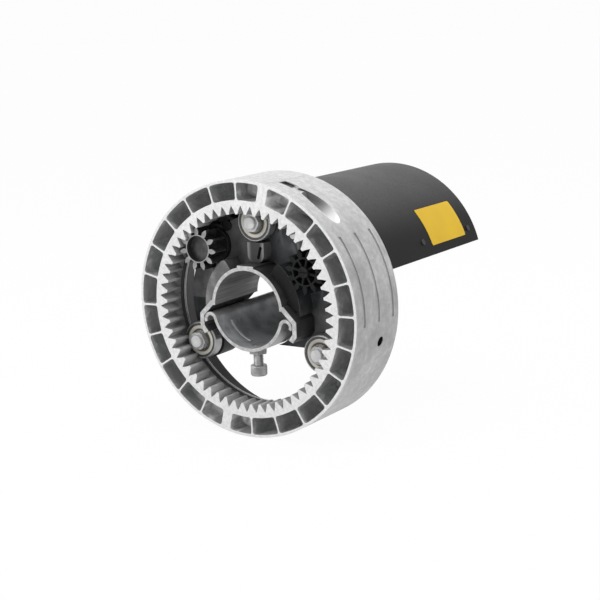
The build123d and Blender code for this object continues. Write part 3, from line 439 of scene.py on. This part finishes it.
def carrier_casting():
    """Dark sand-grained casting, painted lighter beside the pinion as painted light; the cheek's front face is
    painted lighter left of the shaft and near black right of it, as painted light and shade.
    """
    finish = Finish("carrier_casting", gloss=0.15)
    radius = finish.distance()
    cloud = finish.noise(55, 4, roughness=0.62)
    grain = finish.noise(380, 3)
    # painted light: the carrier's upper left, beside the pinion, is painted lighter as if lit
    painted_light_near_pinion = finish.x.ramp(-0.02, 0.012, 1.0, 0.0)
    colour = finish.blend(cloud.ramp(0.32, 0.68), grey(0.034, -0.05), grey(0.085, -0.05))
    painted_lit_colour = finish.blend(cloud.ramp(0.32, 0.68), grey(0.10), grey(0.19))
    oily = finish.noise(110, 3, stretch=(1, 1, 0.4), warp=0.8).ramp(0.42, 0.62)
    near_ring = radius.ramp(0.045, 0.064) * finish.x.ramp(0.004, 0.02)
    colour = finish.blend(near_ring * oily * finish.z.over(0.0), colour, grey(0.24, -0.03))
    colour = finish.blend(painted_light_near_pinion * finish.z.over(0.0), colour, painted_lit_colour)
    lower_lobe = finish.x.ramp(0.034, 0.05) * finish.z.ramp(-0.012, 0.006, 1.0, 0.0)
    lobe_colour = finish.blend(cloud.ramp(0.32, 0.68), grey(0.13), grey(0.24))
    colour = finish.blend(lower_lobe, colour, lobe_colour)
    post = finish.x.between(-POST_HALF, POST_HALF) * finish.z.between(*POST_HEIGHTS)
    # painted highlights: the post is painted lighter towards its two sides
    post_edge_highlight = (finish.x * finish.x).ramp(0.003 ** 2, 0.0072 ** 2)
    post_colour = finish.blend(post_edge_highlight, grey(0.06), grey(0.26))
    colour = finish.blend(post * finish.y.under(-0.002), colour, post_colour)
    # painted light and shade: the cheek's front face is painted lighter left of the shaft and near black right of
    # it
    cheek_lit_and_shaded = radius.under(0.0445) * finish.y.under(CHEEK_FRONT + 0.0002)
    face = finish.blend(finish.noise(90, 3).ramp(0.35, 0.65), grey(0.16), grey(0.30, 0.02))
    colour = finish.blend(cheek_lit_and_shaded, colour, finish.blend(finish.x.under(0.0), grey(0.014), face))
    colour = finish.blend(grain.ramp(0.62, 0.8) * 0.3, colour, grey(0.16))
    colour = finish.blend(finish.edge(0.0006) * cloud.ramp(0.3, 0.6) * 0.6, colour, grey(0.34))
    finish.raised(grain, 0.0001)
    finish.raised(finish.noise(120, 2), 0.0001)
    return finish.paint(colour, cloud.ramp(0.3, 0.7, 0.48, 0.64), metallic=0.2)


def casting(name, dark, bright, rough=0.55, metallic=0.3, grain=0.00012, tint=0.0, shiny=0.35):
    """Sand-grained casting with rubbed edges."""
    finish = Finish(name)
    cloud = finish.noise(55, 4, roughness=0.62)
    grain_field = finish.noise(380, 3)
    colour = finish.blend(cloud.ramp(0.32, 0.68), grey(dark, tint), grey(bright, tint))
    colour = finish.blend(grain_field.ramp(0.62, 0.8) * 0.4, colour, grey(bright * 1.5, tint))
    colour = finish.blend(finish.edge(0.0006) * cloud.ramp(0.35, 0.6) * 0.7, colour, grey(shiny))
    finish.raised(grain_field, grain)
    finish.raised(finish.noise(120, 2), grain)
    return finish.paint(colour, cloud.ramp(0.3, 0.7, rough - 0.08, rough + 0.1), metallic=metallic)


def black_paint(name, level, rough, ends=None, dusty=0.08, gloss=0.5):
    """Satin black paint with a fine skin, a little dust and bare metal along worn edges."""
    finish = Finish(name, gloss=gloss)
    cloud = finish.noise(26, 3)
    speck = finish.noise(1300, 1)
    colour = finish.blend(cloud.ramp(0.3, 0.7), grey(level * 0.85), grey(level * 1.2))
    dust = finish.z.ramp(COVER_R * 0.45, COVER_R, 0.0, 1.0) * speck.ramp(0.3, 0.75, 0.5, 1.0) * dusty
    colour = finish.blend(dust, colour, grey(0.35))
    worn = finish.edge(0.0006) * finish.noise(110, 3).ramp(0.38, 0.62)
    colour = finish.blend(worn * 0.65, colour, grey(0.42))
    if ends:
        scratch = finish.noise(240, 2, stretch=(1, 0.05, 1)).ramp(0.68, 0.74)
        near_end = finish.y.ramp(ends[0], ends[0] + 0.012, 1.0, 0.0)
        near_end = near_end + finish.y.ramp(ends[1] - 0.01, ends[1])
        colour = finish.blend(scratch * near_end * 0.25, colour, grey(0.3))
    finish.raised(speck, 0.000012)
    finish.raised(finish.noise(300, 2), 0.00001)
    return finish.paint(colour, cloud.ramp(0.3, 0.7, rough - 0.04, rough + 0.07), metallic=worn * 0.7)


def plastic(name, colour, shade, rough=0.45, grain=0.00003, edge=0.35, shiny=1.6, gloss=0.5):
    """Moulded plastic with a fine eroded grain and polished edges."""
    finish = Finish(name, gloss=gloss)
    cloud = finish.noise(80, 3)
    fine = finish.noise(900, 2)
    base = finish.blend(cloud.ramp(0.3, 0.7), shade, colour)
    polished = tuple(min(1.0, part * shiny + 0.03) for part in colour)
    base = finish.blend(finish.edge(0.0004) * edge, base, polished)
    finish.raised(fine, grain)
    return finish.paint(base, cloud.ramp(0.3, 0.7, rough - 0.05, rough + 0.1))


def saddle_aluminium():
    """Extruded aluminium: bright sawn front, grey drawing lines in the arch, the outside painted near black as
    painted shade.
    """
    finish = Finish("saddle_aluminium")
    radius = finish.distance()
    lines = finish.noise(900, 2, stretch=(1, 0.03, 1))
    bands = finish.noise(150, 1, stretch=(1, 0.01, 1))
    cloud = finish.noise(60, 4)
    front = finish.y.under(SADDLE_FRONT)
    arch = radius.under(0.0303) * finish.z.over(-0.001)
    # painted shade: the saddle's outside is painted near black
    colour = finish.blend(cloud.ramp(0.3, 0.7), grey(0.045), grey(0.085))
    arch_colour = finish.blend(lines.ramp(0.4, 0.7), grey(0.19), grey(0.28))
    arch_colour = finish.blend(bands.ramp(0.55, 0.62) * 0.55, arch_colour, grey(0.08))
    colour = finish.blend(arch, colour, arch_colour)
    colour = finish.blend(finish.edge(0.0004) * 0.4, colour, grey(0.5))
    sawn = finish.blend(finish.noise(500, 2).ramp(0.4, 0.7), grey(0.42), grey(0.58))
    # painted shade: the upper front is painted darker towards the right
    sawn = finish.blend(finish.x.ramp(-0.004, 0.026) * finish.z.over(0.0) * 0.3, sawn, grey(0.28))
    colour = finish.blend(front, colour, sawn)
    finish.raised(lines, 0.00002)
    finish.raised(finish.noise(400, 2), 0.000015)
    return finish.paint(colour, cloud.ramp(0.3, 0.7, 0.38, 0.52), metallic=0.3 + front * 0.2)


def trough_steel():
    """Bent bright sheet: pale cut edge at the front, mottled grey inside, and painted lighter still nearer the axis
    as painted light.
    """
    finish = Finish("trough_steel")
    cloud = finish.noise(48, 4, roughness=0.6)
    lines = finish.noise(800, 2, stretch=(0.2, 0.04, 0.2))
    inside = finish.distance().under(0.0309)
    colour = finish.blend(cloud.ramp(0.35, 0.65), grey(0.34), grey(0.46))
    inside_with_painted_light = finish.blend(cloud.ramp(0.35, 0.65), grey(0.25, -0.03), grey(0.5, -0.03))
    # painted light: the surfaces nearer the axis are painted lighter
    inside_with_painted_light = finish.blend(finish.distance().under(TROUGH_INNER_R - 0.0001), inside_with_painted_light, grey(0.7))
    colour = finish.blend(inside, colour, inside_with_painted_light)
    cut = finish.blend(finish.noise(260, 2).ramp(0.35, 0.65), grey(0.38), grey(0.54))
    colour = finish.blend(finish.y.under(SADDLE_FRONT), colour, cut)
    colour = finish.blend(finish.edge(0.0004) * 0.6, colour, grey(0.7))
    finish.raised(lines, 0.00002)
    finish.raised(cloud, 0.00005)
    return finish.paint(colour, cloud.ramp(0.3, 0.7, 0.32, 0.48), metallic=0.5 - inside * 0.3)


def seal_rubber():
    """Pale seal between two yellowish lines; its inner rim is painted near black as painted shade."""
    finish = Finish("seal_rubber")
    radius = finish.nearest(BEARING_CENTRES)
    cloud = finish.noise(80, 3)
    colour = finish.blend(cloud.ramp(0.3, 0.7), (0.56, 0.55, 0.50), (0.68, 0.67, 0.62))
    lines = radius.over(0.0120) + radius.between(0.0093, 0.0098)
    colour = finish.blend(lines * 0.8, colour, (0.44, 0.36, 0.15))
    # painted shade: the seal's inner rim is painted near black
    colour = finish.blend(radius.under(0.0093), colour, (0.07, 0.07, 0.068))
    finish.raised(finish.noise(900, 2), 0.00002)
    finish.raised(radius.ramp(0.0096, 0.0108), 0.0003)
    return finish.paint(colour, cloud.ramp(0.3, 0.7, 0.42, 0.56))


def ring_steel():
    """Ground bearing ring: bright rounded rim; the turned groove and the inner half inside it are painted near
    black as painted shade.
    """
    finish = Finish("ring_steel")
    radius = finish.nearest(BEARING_CENTRES)
    cloud = finish.noise(160, 3)
    colour = finish.blend(cloud.ramp(0.3, 0.7), grey(0.34), grey(0.46))
    # painted shade: everything inside the rim's groove is painted near black
    colour = finish.blend(radius.under(RING_GROOVE_R), colour, grey(0.05))
    colour = finish.blend(finish.edge(0.0004) * radius.over(RING_GROOVE_R) * 0.6, colour, grey(0.7))
    finish.raised(finish.noise(1.0, 2, where=finish.at(radius * 2600, 0.0, 0.0)), 0.000012)
    rough = cloud.ramp(0.3, 0.7, 0.24, 0.38)
    return finish.paint(colour, rough, metallic=radius.over(RING_GROOVE_R) * 0.6)


finishes = {
    "crown": cast_crown(),
    "bearing_steel": ring_steel(),
    # painted shade: the inner rings get darker steel than the outer rings
    "inner_ring": turned_steel("inner_ring_steel", BEARING_CENTRES, 0.14, 0.24, 0.26),
    "stud_steel": turned_steel("stud_steel", BEARING_CENTRES, 0.52, 0.66, 0.4, 0.2),
    "nut_steel": zinc_steel("nut_steel", 0.34, 0.6, (1, 1, 1), 0.36, 0.5),
    "seal": seal_rubber(),
    "pinion": pinion_steel(),
    "limit_gear": plastic(
        "limit_gear_plastic", (0.017, 0.019, 0.019), (0.010, 0.011, 0.011),
        0.55, 0.00003, 0.25, 2.0, 0.08,
    ),
    "spindle": turned_steel("spindle_steel", [LIMIT_CENTRE], 0.01, 0.02, 0.5, 0.0, gloss=0.08),
    "saddle": saddle_aluminium(),
    "trough": trough_steel(),
    "bolt": zinc_steel("bolt_zinc", 0.22, 0.56, (1, 1, 1), 0.36, 0.55),
    "carrier": carrier_casting(),
    "gearbox": gearbox_casting(),
    "end_cap": casting("end_cap_casting", 0.10, 0.19, 0.5, 0.35),
    "black_screw": casting("black_screw", 0.012, 0.022, 0.45, 0.3, 0.00002, shiny=0.06),
    "motor": black_paint("motor_paint", 0.035, 0.42),
    "brake": black_paint("brake_paint", 0.03, 0.36),
    "cover": black_paint("cover_paint", 0.012, 0.5, COVER_ENDS, 0.28, 0.1),
    "bracket": zinc_steel("bracket_zinc", 0.30, 0.42, (1, 1, 0.08)),
    "steel": zinc_steel("screw_zinc", 0.42, 0.6, (1, 1, 1)),
    "cover_screw": casting("cover_screw_black", 0.012, 0.02, 0.5, 0.2, 0.00002, shiny=0.12),
    "capacitor": plastic("capacitor_case", (0.62, 0.62, 0.59), (0.52, 0.52, 0.5), 0.4),
    "strap": zinc_steel("strap_zinc", 0.4, 0.56, (1, 0.1, 1)),
    "black_plastic": plastic(
        "black_plastic", (0.035, 0.035, 0.036), (0.02, 0.02, 0.02), 0.48, 0.00004, 0.4, 2.2,
    ),
    "white_plastic": plastic("white_plastic", (0.66, 0.65, 0.60), (0.56, 0.55, 0.51), 0.42),
    "brass": turned_steel("terminal_brass", [(0.0, 0.0)], 0.38, 0.5, 0.3, 0.85, 0.2),
}
node_finish = {
    "crown_half_left": "crown", "crown_half_right": "crown", "crown_screws": "steel",
    "bearing_ring_1": "bearing_steel", "bearing_ring_2": "bearing_steel", "bearing_ring_3": "bearing_steel",
    "bearing_inner_rings": "inner_ring", "bearing_studs": "stud_steel", "bearing_nuts": "nut_steel",
    "bearing_seals_1": "seal", "bearing_seals_2": "seal", "bearing_seals_3": "seal",
    "drive_pinion": "pinion", "limit_gear": "limit_gear", "limit_spindle": "spindle", "limit_cams": "white_plastic",
    "micro_switches": "black_plastic", "limit_tray": "black_plastic", "saddle": "saddle",
    "clamp_trough": "trough", "clamp_nut": "bolt", "clamp_bolt": "bolt", "front_carrier": "carrier",
    "gearbox_housing": "gearbox", "flange_screws": "black_screw", "motor_can": "motor", "motor_end_cap": "end_cap",
    "brake_unit": "brake", "capacitor": "capacitor", "capacitor_strap": "strap", "tie_rod": "steel",
    "rod_nuts": "steel", "terminal_block": "white_plastic", "terminal_screws": "brass",
    "middle_bracket": "bracket", "rear_plate": "bracket", "cover": "cover", "cover_screws": "cover_screw",
}
for name, finish in node_finish.items():
    mesh = nodes[name].data
    mesh.materials.clear()
    mesh.materials.append(finishes[finish])


# Pieces made here

def piece(name, mesh, body):
    made = bpy.data.objects.new(name, mesh)
    scene.collection.objects.link(made)
    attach(made, body)
    return made


def plate_on_cover():
    """A plain yellow plate bent to the cover's curve, with small round corners."""
    thick, corner = 0.0003, 0.0007
    low_y, high_y = 0.1225, 0.1815
    first, last = math.radians(47.8), math.radians(69.4)
    length, height = high_y - low_y, (last - first) * COVER_R
    columns, rows = 24, 18
    bm = bmesh.new()
    grid = []
    for row in range(rows + 1):
        line = []
        up = -height / 2 + height * row / rows
        into_corner = max(0.0, abs(up) - (height / 2 - corner))
        inset = corner - math.sqrt(max(0.0, corner ** 2 - into_corner ** 2))
        for column in range(columns + 1):
            across = (-1 + 2 * column / columns) * (length / 2 - inset)
            line.append((across, up))
        grid.append(line)
    layers = []
    for radius in (COVER_R + 0.00002, COVER_R + 0.00002 + thick):
        layer = []
        for line in grid:
            made = []
            for across, up in line:
                turn = (first + last) / 2 - up / COVER_R
                y = (low_y + high_y) / 2 + across
                made.append(bm.verts.new((radius * math.sin(turn), y, radius * math.cos(turn))))
            layer.append(made)
        layers.append(layer)
    inner, outer = layers
    for row in range(rows):
        for column in range(columns):
            for layer in layers:
                here, above = layer[row], layer[row + 1]
                bm.faces.new((here[column], here[column + 1], above[column + 1], above[column]))
    edge = [(0, column) for column in range(columns)]
    edge += [(row, columns) for row in range(rows)]
    edge += [(rows, column) for column in range(columns, 0, -1)]
    edge += [(row, 0) for row in range(rows, 0, -1)]
    for here, there in zip(edge, edge[1:] + edge[:1]):
        a, b = inner[here[0]][here[1]], inner[there[0]][there[1]]
        c, d = outer[there[0]][there[1]], outer[here[0]][here[1]]
        bm.faces.new((a, b, c, d))
    bmesh.ops.recalc_face_normals(bm, faces=bm.faces)
    mesh = bpy.data.meshes.new("cover_plate")
    bm.to_mesh(mesh)
    bm.free()
    finish = Finish("yellow_plate", gloss=0.2)
    cloud = finish.noise(30, 3)
    fine = finish.noise(700, 2)
    colour = finish.blend(cloud.ramp(0.3, 0.7), (0.66, 0.42, 0.021), (0.72, 0.47, 0.029))
    worn = finish.edge(0.0003) * cloud.ramp(0.4, 0.6)
    colour = finish.blend(worn * 0.5, colour, (0.55, 0.42, 0.12))
    finish.raised(fine, 0.00001)
    rough = cloud.ramp(0.3, 0.7, 0.42, 0.52)
    mesh.materials.append(finish.paint(colour, rough, round_edges=0.0001))
    return piece("cover_plate", mesh, "frame")


# Geometry trees for what repeats: threads, and ridges around screw heads

def geometry_tree(name, sizes, build):
    """A tree with named sizes, whose end makes real faces and gives them their finish."""
    group = bpy.data.node_groups.new(name, "GeometryNodeTree")
    for size, (kind, value) in sizes.items():
        socket = group.interface.new_socket(
            name=size, in_out="INPUT", socket_type="NodeSocket" + kind,
        )
        socket.default_value = value
    group.interface.new_socket(name="Finish", in_out="INPUT", socket_type="NodeSocketMaterial")
    group.interface.new_socket(name="Geometry", in_out="OUTPUT", socket_type="NodeSocketGeometry")
    tree = Tree(group)
    source = group.nodes.new("NodeGroupInput")
    given = {socket.name: Field(tree, socket) for socket in source.outputs if socket.name}
    shape = build(tree, given)
    solid = tree.node("GeometryNodeRealizeInstances", None, {0: shape})
    inputs = {"Geometry": solid, "Material": given["Finish"]}
    painted = tree.node("GeometryNodeSetMaterial", None, inputs)
    target = group.nodes.new("NodeGroupOutput")
    group.links.new(painted.socket, target.inputs[0])
    return group


def grown(name, group, sizes, finish, placement):
    """The plain mesh that a tree makes with these sizes, moved to its place."""
    holder = bpy.data.objects.new(name, bpy.data.meshes.new(name))
    scene.collection.objects.link(holder)
    modifier = holder.modifiers.new(name, "NODES")
    modifier.node_group = group
    for item in group.interface.items_tree:
        if item.in_out == "INPUT":
            modifier[item.identifier] = finish if item.name == "Finish" else sizes[item.name]
    graph = bpy.context.evaluated_depsgraph_get()
    mesh = bpy.data.meshes.new_from_object(holder.evaluated_get(graph))
    bpy.data.objects.remove(holder)
    mesh.transform(placement)
    mesh.name = name
    return mesh


def lifted_by(tree, shape, height):
    up = tree.node("ShaderNodeCombineXYZ", None, {2: height})
    return tree.node("GeometryNodeTransform", None, {"Geometry": shape, "Translation": up})


def build_thread(tree, given):
    """A screwed shank along Z: a core with a helical ridge."""
    turns = given["Length"] / given["Pitch"]
    ridge = given["Pitch"] * 0.46
    inputs = {
        "Resolution": 28, "Rotations": turns, "Height": given["Length"] - given["Pitch"],
        "Start Radius": given["Radius"] - ridge, "End Radius": given["Radius"] - ridge,
    }
    helix = tree.node("GeometryNodeCurveSpiral", None, inputs)
    upright = tree.node("GeometryNodeSetCurveNormal", {"mode": "Z_UP"}, {0: helix})
    outline = tree.node("GeometryNodeCurvePrimitiveCircle", None, {"Resolution": 4, "Radius": ridge})
    inputs = {"Curve": upright, "Profile Curve": outline, "Fill Caps": True}
    swept = tree.node("GeometryNodeCurveToMesh", None, inputs)
    raised = lifted_by(tree, swept, given["Pitch"] * 0.5)
    inputs = {"Vertices": 32, "Radius": given["Radius"] - ridge * 0.95, "Depth": given["Length"]}
    core = tree.node("GeometryNodeMeshCylinder", None, inputs)
    lifted = lifted_by(tree, core, given["Length"] * 0.5)
    joined = tree.tree.nodes.new("GeometryNodeJoinGeometry")
    tree.tree.links.new(raised.socket, joined.inputs[0])
    tree.tree.links.new(lifted.socket, joined.inputs[0])
    return Field(tree, joined.outputs[0])


def build_ridges(tree, given):
    """Fine upright ridges around a screw head."""
    inputs = {"Vertices": given["Count"], "Radius": given["Radius"]}
    circle = tree.node("GeometryNodeMeshCircle", None, inputs)
    inputs = {"Vertices": 6, "Radius": given["Ridge"], "Depth": given["Height"]}
    ridge = tree.node("GeometryNodeMeshCylinder", None, inputs)
    return tree.node("GeometryNodeInstanceOnPoints", None, {"Points": circle, "Instance": ridge})


thread_tree = geometry_tree(
    "screw_thread",
    {
        "Radius": ("Float", BOLT_R), "Pitch": ("Float", BOLT_PITCH),
        "Length": ("Float", BOLT_LENGTH),
    },
    build_thread,
)
ridge_tree = geometry_tree(
    "head_ridges",
    {
        "Radius": ("Float", HEAD_R), "Ridge": ("Float", RIDGE_R),
        "Height": ("Float", RIDGE_HEIGHT), "Count": ("Int", RIDGE_COUNT),
    },
    build_ridges,
)


def socket_head(radius, height, flats, depth):
    """Round screw head with its top at z 0 and a hexagon socket in its lower end."""
    bm = bmesh.new()
    steps, chamfer = 48, 0.0004

    def ring(size, z, count=steps):
        turns = [2 * math.pi * step / count for step in range(count)]
        return [bm.verts.new((size * math.cos(turn), size * math.sin(turn), z)) for turn in turns]

    def wall(first, second):
        for step in range(len(first)):
            after = (step + 1) % len(first)
            bm.faces.new((first[step], first[after], second[after], second[step]))

    upper = ring(radius, 0.0)
    middle = ring(radius, -height + chamfer)
    lower = ring(radius - chamfer, -height)
    mouth = ring(flats / math.sqrt(3), -height, 6)
    floor = ring(flats / math.sqrt(3), -height + depth, 6)
    bm.faces.new(upper)
    wall(upper, middle)
    wall(middle, lower)
    wall(mouth, floor)
    bm.faces.new(floor)
    loops = [
        bm.edges.get((ends[step], ends[(step + 1) % len(ends)]))
        for ends in (lower, mouth) for step in range(len(ends))
    ]
    bmesh.ops.triangle_fill(bm, use_beauty=True, edges=loops)
    bmesh.ops.recalc_face_normals(bm, faces=bm.faces)
    mesh = bpy.data.meshes.new("socket_head")
    bm.to_mesh(mesh)
    bm.free()
    return mesh


def joined_mesh(name, meshes, finish):
    bm = bmesh.new()
    for mesh in meshes:
        bm.from_mesh(mesh)
    made = bpy.data.meshes.new(name)
    bm.to_mesh(made)
    bm.free()
    made.materials.clear()
    made.materials.append(finish)
    for polygon in made.polygons:
        polygon.material_index = 0
    return made


def clamp_bolt():
    """The bolt under the trough, with its thread and its ridged socket head."""
    low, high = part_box("clamp_bolt")
    zinc = finishes["bolt"]
    head_top = high.z - BOLT_LENGTH
    head_place = Matrix.Translation((0.0, BOLT_Y, head_top))
    ridge_place = Matrix.Translation((0.0, BOLT_Y, head_top - 0.0038))
    thread_sizes = {"Radius": BOLT_R, "Pitch": BOLT_PITCH, "Length": BOLT_LENGTH}
    ridge_sizes = {
        "Radius": HEAD_R, "Ridge": RIDGE_R, "Height": RIDGE_HEIGHT, "Count": RIDGE_COUNT,
    }
    shank = grown("bolt_thread", thread_tree, thread_sizes, zinc, head_place)
    head = socket_head(HEAD_R, HEAD_HEIGHT, SOCKET_FLATS, SOCKET_DEPTH)
    head.transform(head_place)
    ridges = grown("bolt_ridges", ridge_tree, ridge_sizes, zinc, ridge_place)
    mesh = joined_mesh("clamp_bolt_threaded", [shank, head, ridges], zinc)
    bolt = piece("clamp_bolt_threaded", mesh, "clamp_bolt")
    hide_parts("clamp_bolt")


plate_on_cover()
clamp_bolt()


# Floor, light and camera

LENS, SENSOR = 84.22, 36.0
CAMERA_PLACE, CAMERA_TARGET = (0.61197, -0.8798, 0.22287), (0.05172, -0.031, 0.01254)
CAMERA_ROLL = math.radians(2.4)


def floor():
    bm = bmesh.new()
    size = 12.0
    bmesh.ops.create_grid(bm, x_segments=1, y_segments=1, size=size)
    mesh = bpy.data.meshes.new("floor")
    bm.to_mesh(mesh)
    bm.free()
    mesh.transform(Matrix.Translation((0.0, 0.0, cad_low.z - 0.0005)))
    made = bpy.data.objects.new("floor", mesh)
    scene.collection.objects.link(made)
    finish = Finish("pale_floor")
    cloud = finish.noise(3.0, 2)
    finish.raised(cloud, 0.0001)
    finish.paint(finish.blend(cloud, grey(0.80), grey(0.84)), 0.9)
    white = (1.0, 1.0, 1.0, 1.0)
    bright = finish.node("ShaderNodeEmission", None, {"Color": white, "Strength": 1.0})
    shader = Field(finish, finish.shader.outputs[0])
    inputs = {0: finish.seen() * 0.97, 1: shader, 2: bright}
    mixed = finish.node("ShaderNodeMixShader", None, inputs)
    output = finish.tree.nodes["Material Output"]
    finish.tree.links.new(mixed.socket, output.inputs["Surface"])
    mesh.materials.append(finish.material)


def sky():
    world = bpy.data.worlds.new("studio")
    scene.world = world
    world.use_nodes = True
    tree = Tree(world.node_tree)
    background = world.node_tree.nodes["Background"]
    background.inputs["Color"].default_value = (1.0, 1.0, 1.0, 1.0)
    tree.feed(background.inputs["Strength"], tree.seen() * 0.56 + 0.42)


def lamp(name, place, target, size, power):
    light = bpy.data.lights.new(name, "AREA")
    light.shape = "RECTANGLE"
    light.size, light.size_y = size
    light.energy = power
    made = bpy.data.objects.new(name, light)
    made.location = place
    made.rotation_euler = (Vector(target) - Vector(place)).to_track_quat("-Z", "Y").to_euler()
    scene.collection.objects.link(made)


def camera():
    data = bpy.data.cameras.new("camera")
    data.lens, data.sensor_width = LENS, SENSOR
    data.clip_start, data.clip_end = 0.01, 60.0
    made = bpy.data.objects.new("camera", data)
    scene.collection.objects.link(made)
    place, target = Vector(CAMERA_PLACE), Vector(CAMERA_TARGET)
    ahead = (target - place).normalized()
    upright = Vector((math.sin(CAMERA_ROLL), 0.0, math.cos(CAMERA_ROLL)))
    right = ahead.cross(upright).normalized()
    above = right.cross(ahead)
    turned = Matrix((right, above, -ahead)).transposed().to_4x4()
    made.matrix_world = Matrix.Translation(place) @ turned
    scene.camera = made


floor()
sky()
lamp("lamp_above", (0.1, 0.1, 1.3), (0.0, 0.05, 0.0), (1.2, 1.4), 13.0)
lamp("lamp_front_left", (-0.9, -1.1, 0.7), (0.0, 0.0, 0.0), (0.9, 0.9), 11.0)
lamp("lamp_right", (1.3, -0.3, 0.5), (0.05, 0.05, 0.0), (0.7, 0.9), 4.0)
camera()
scene.view_settings.view_transform = "Standard"
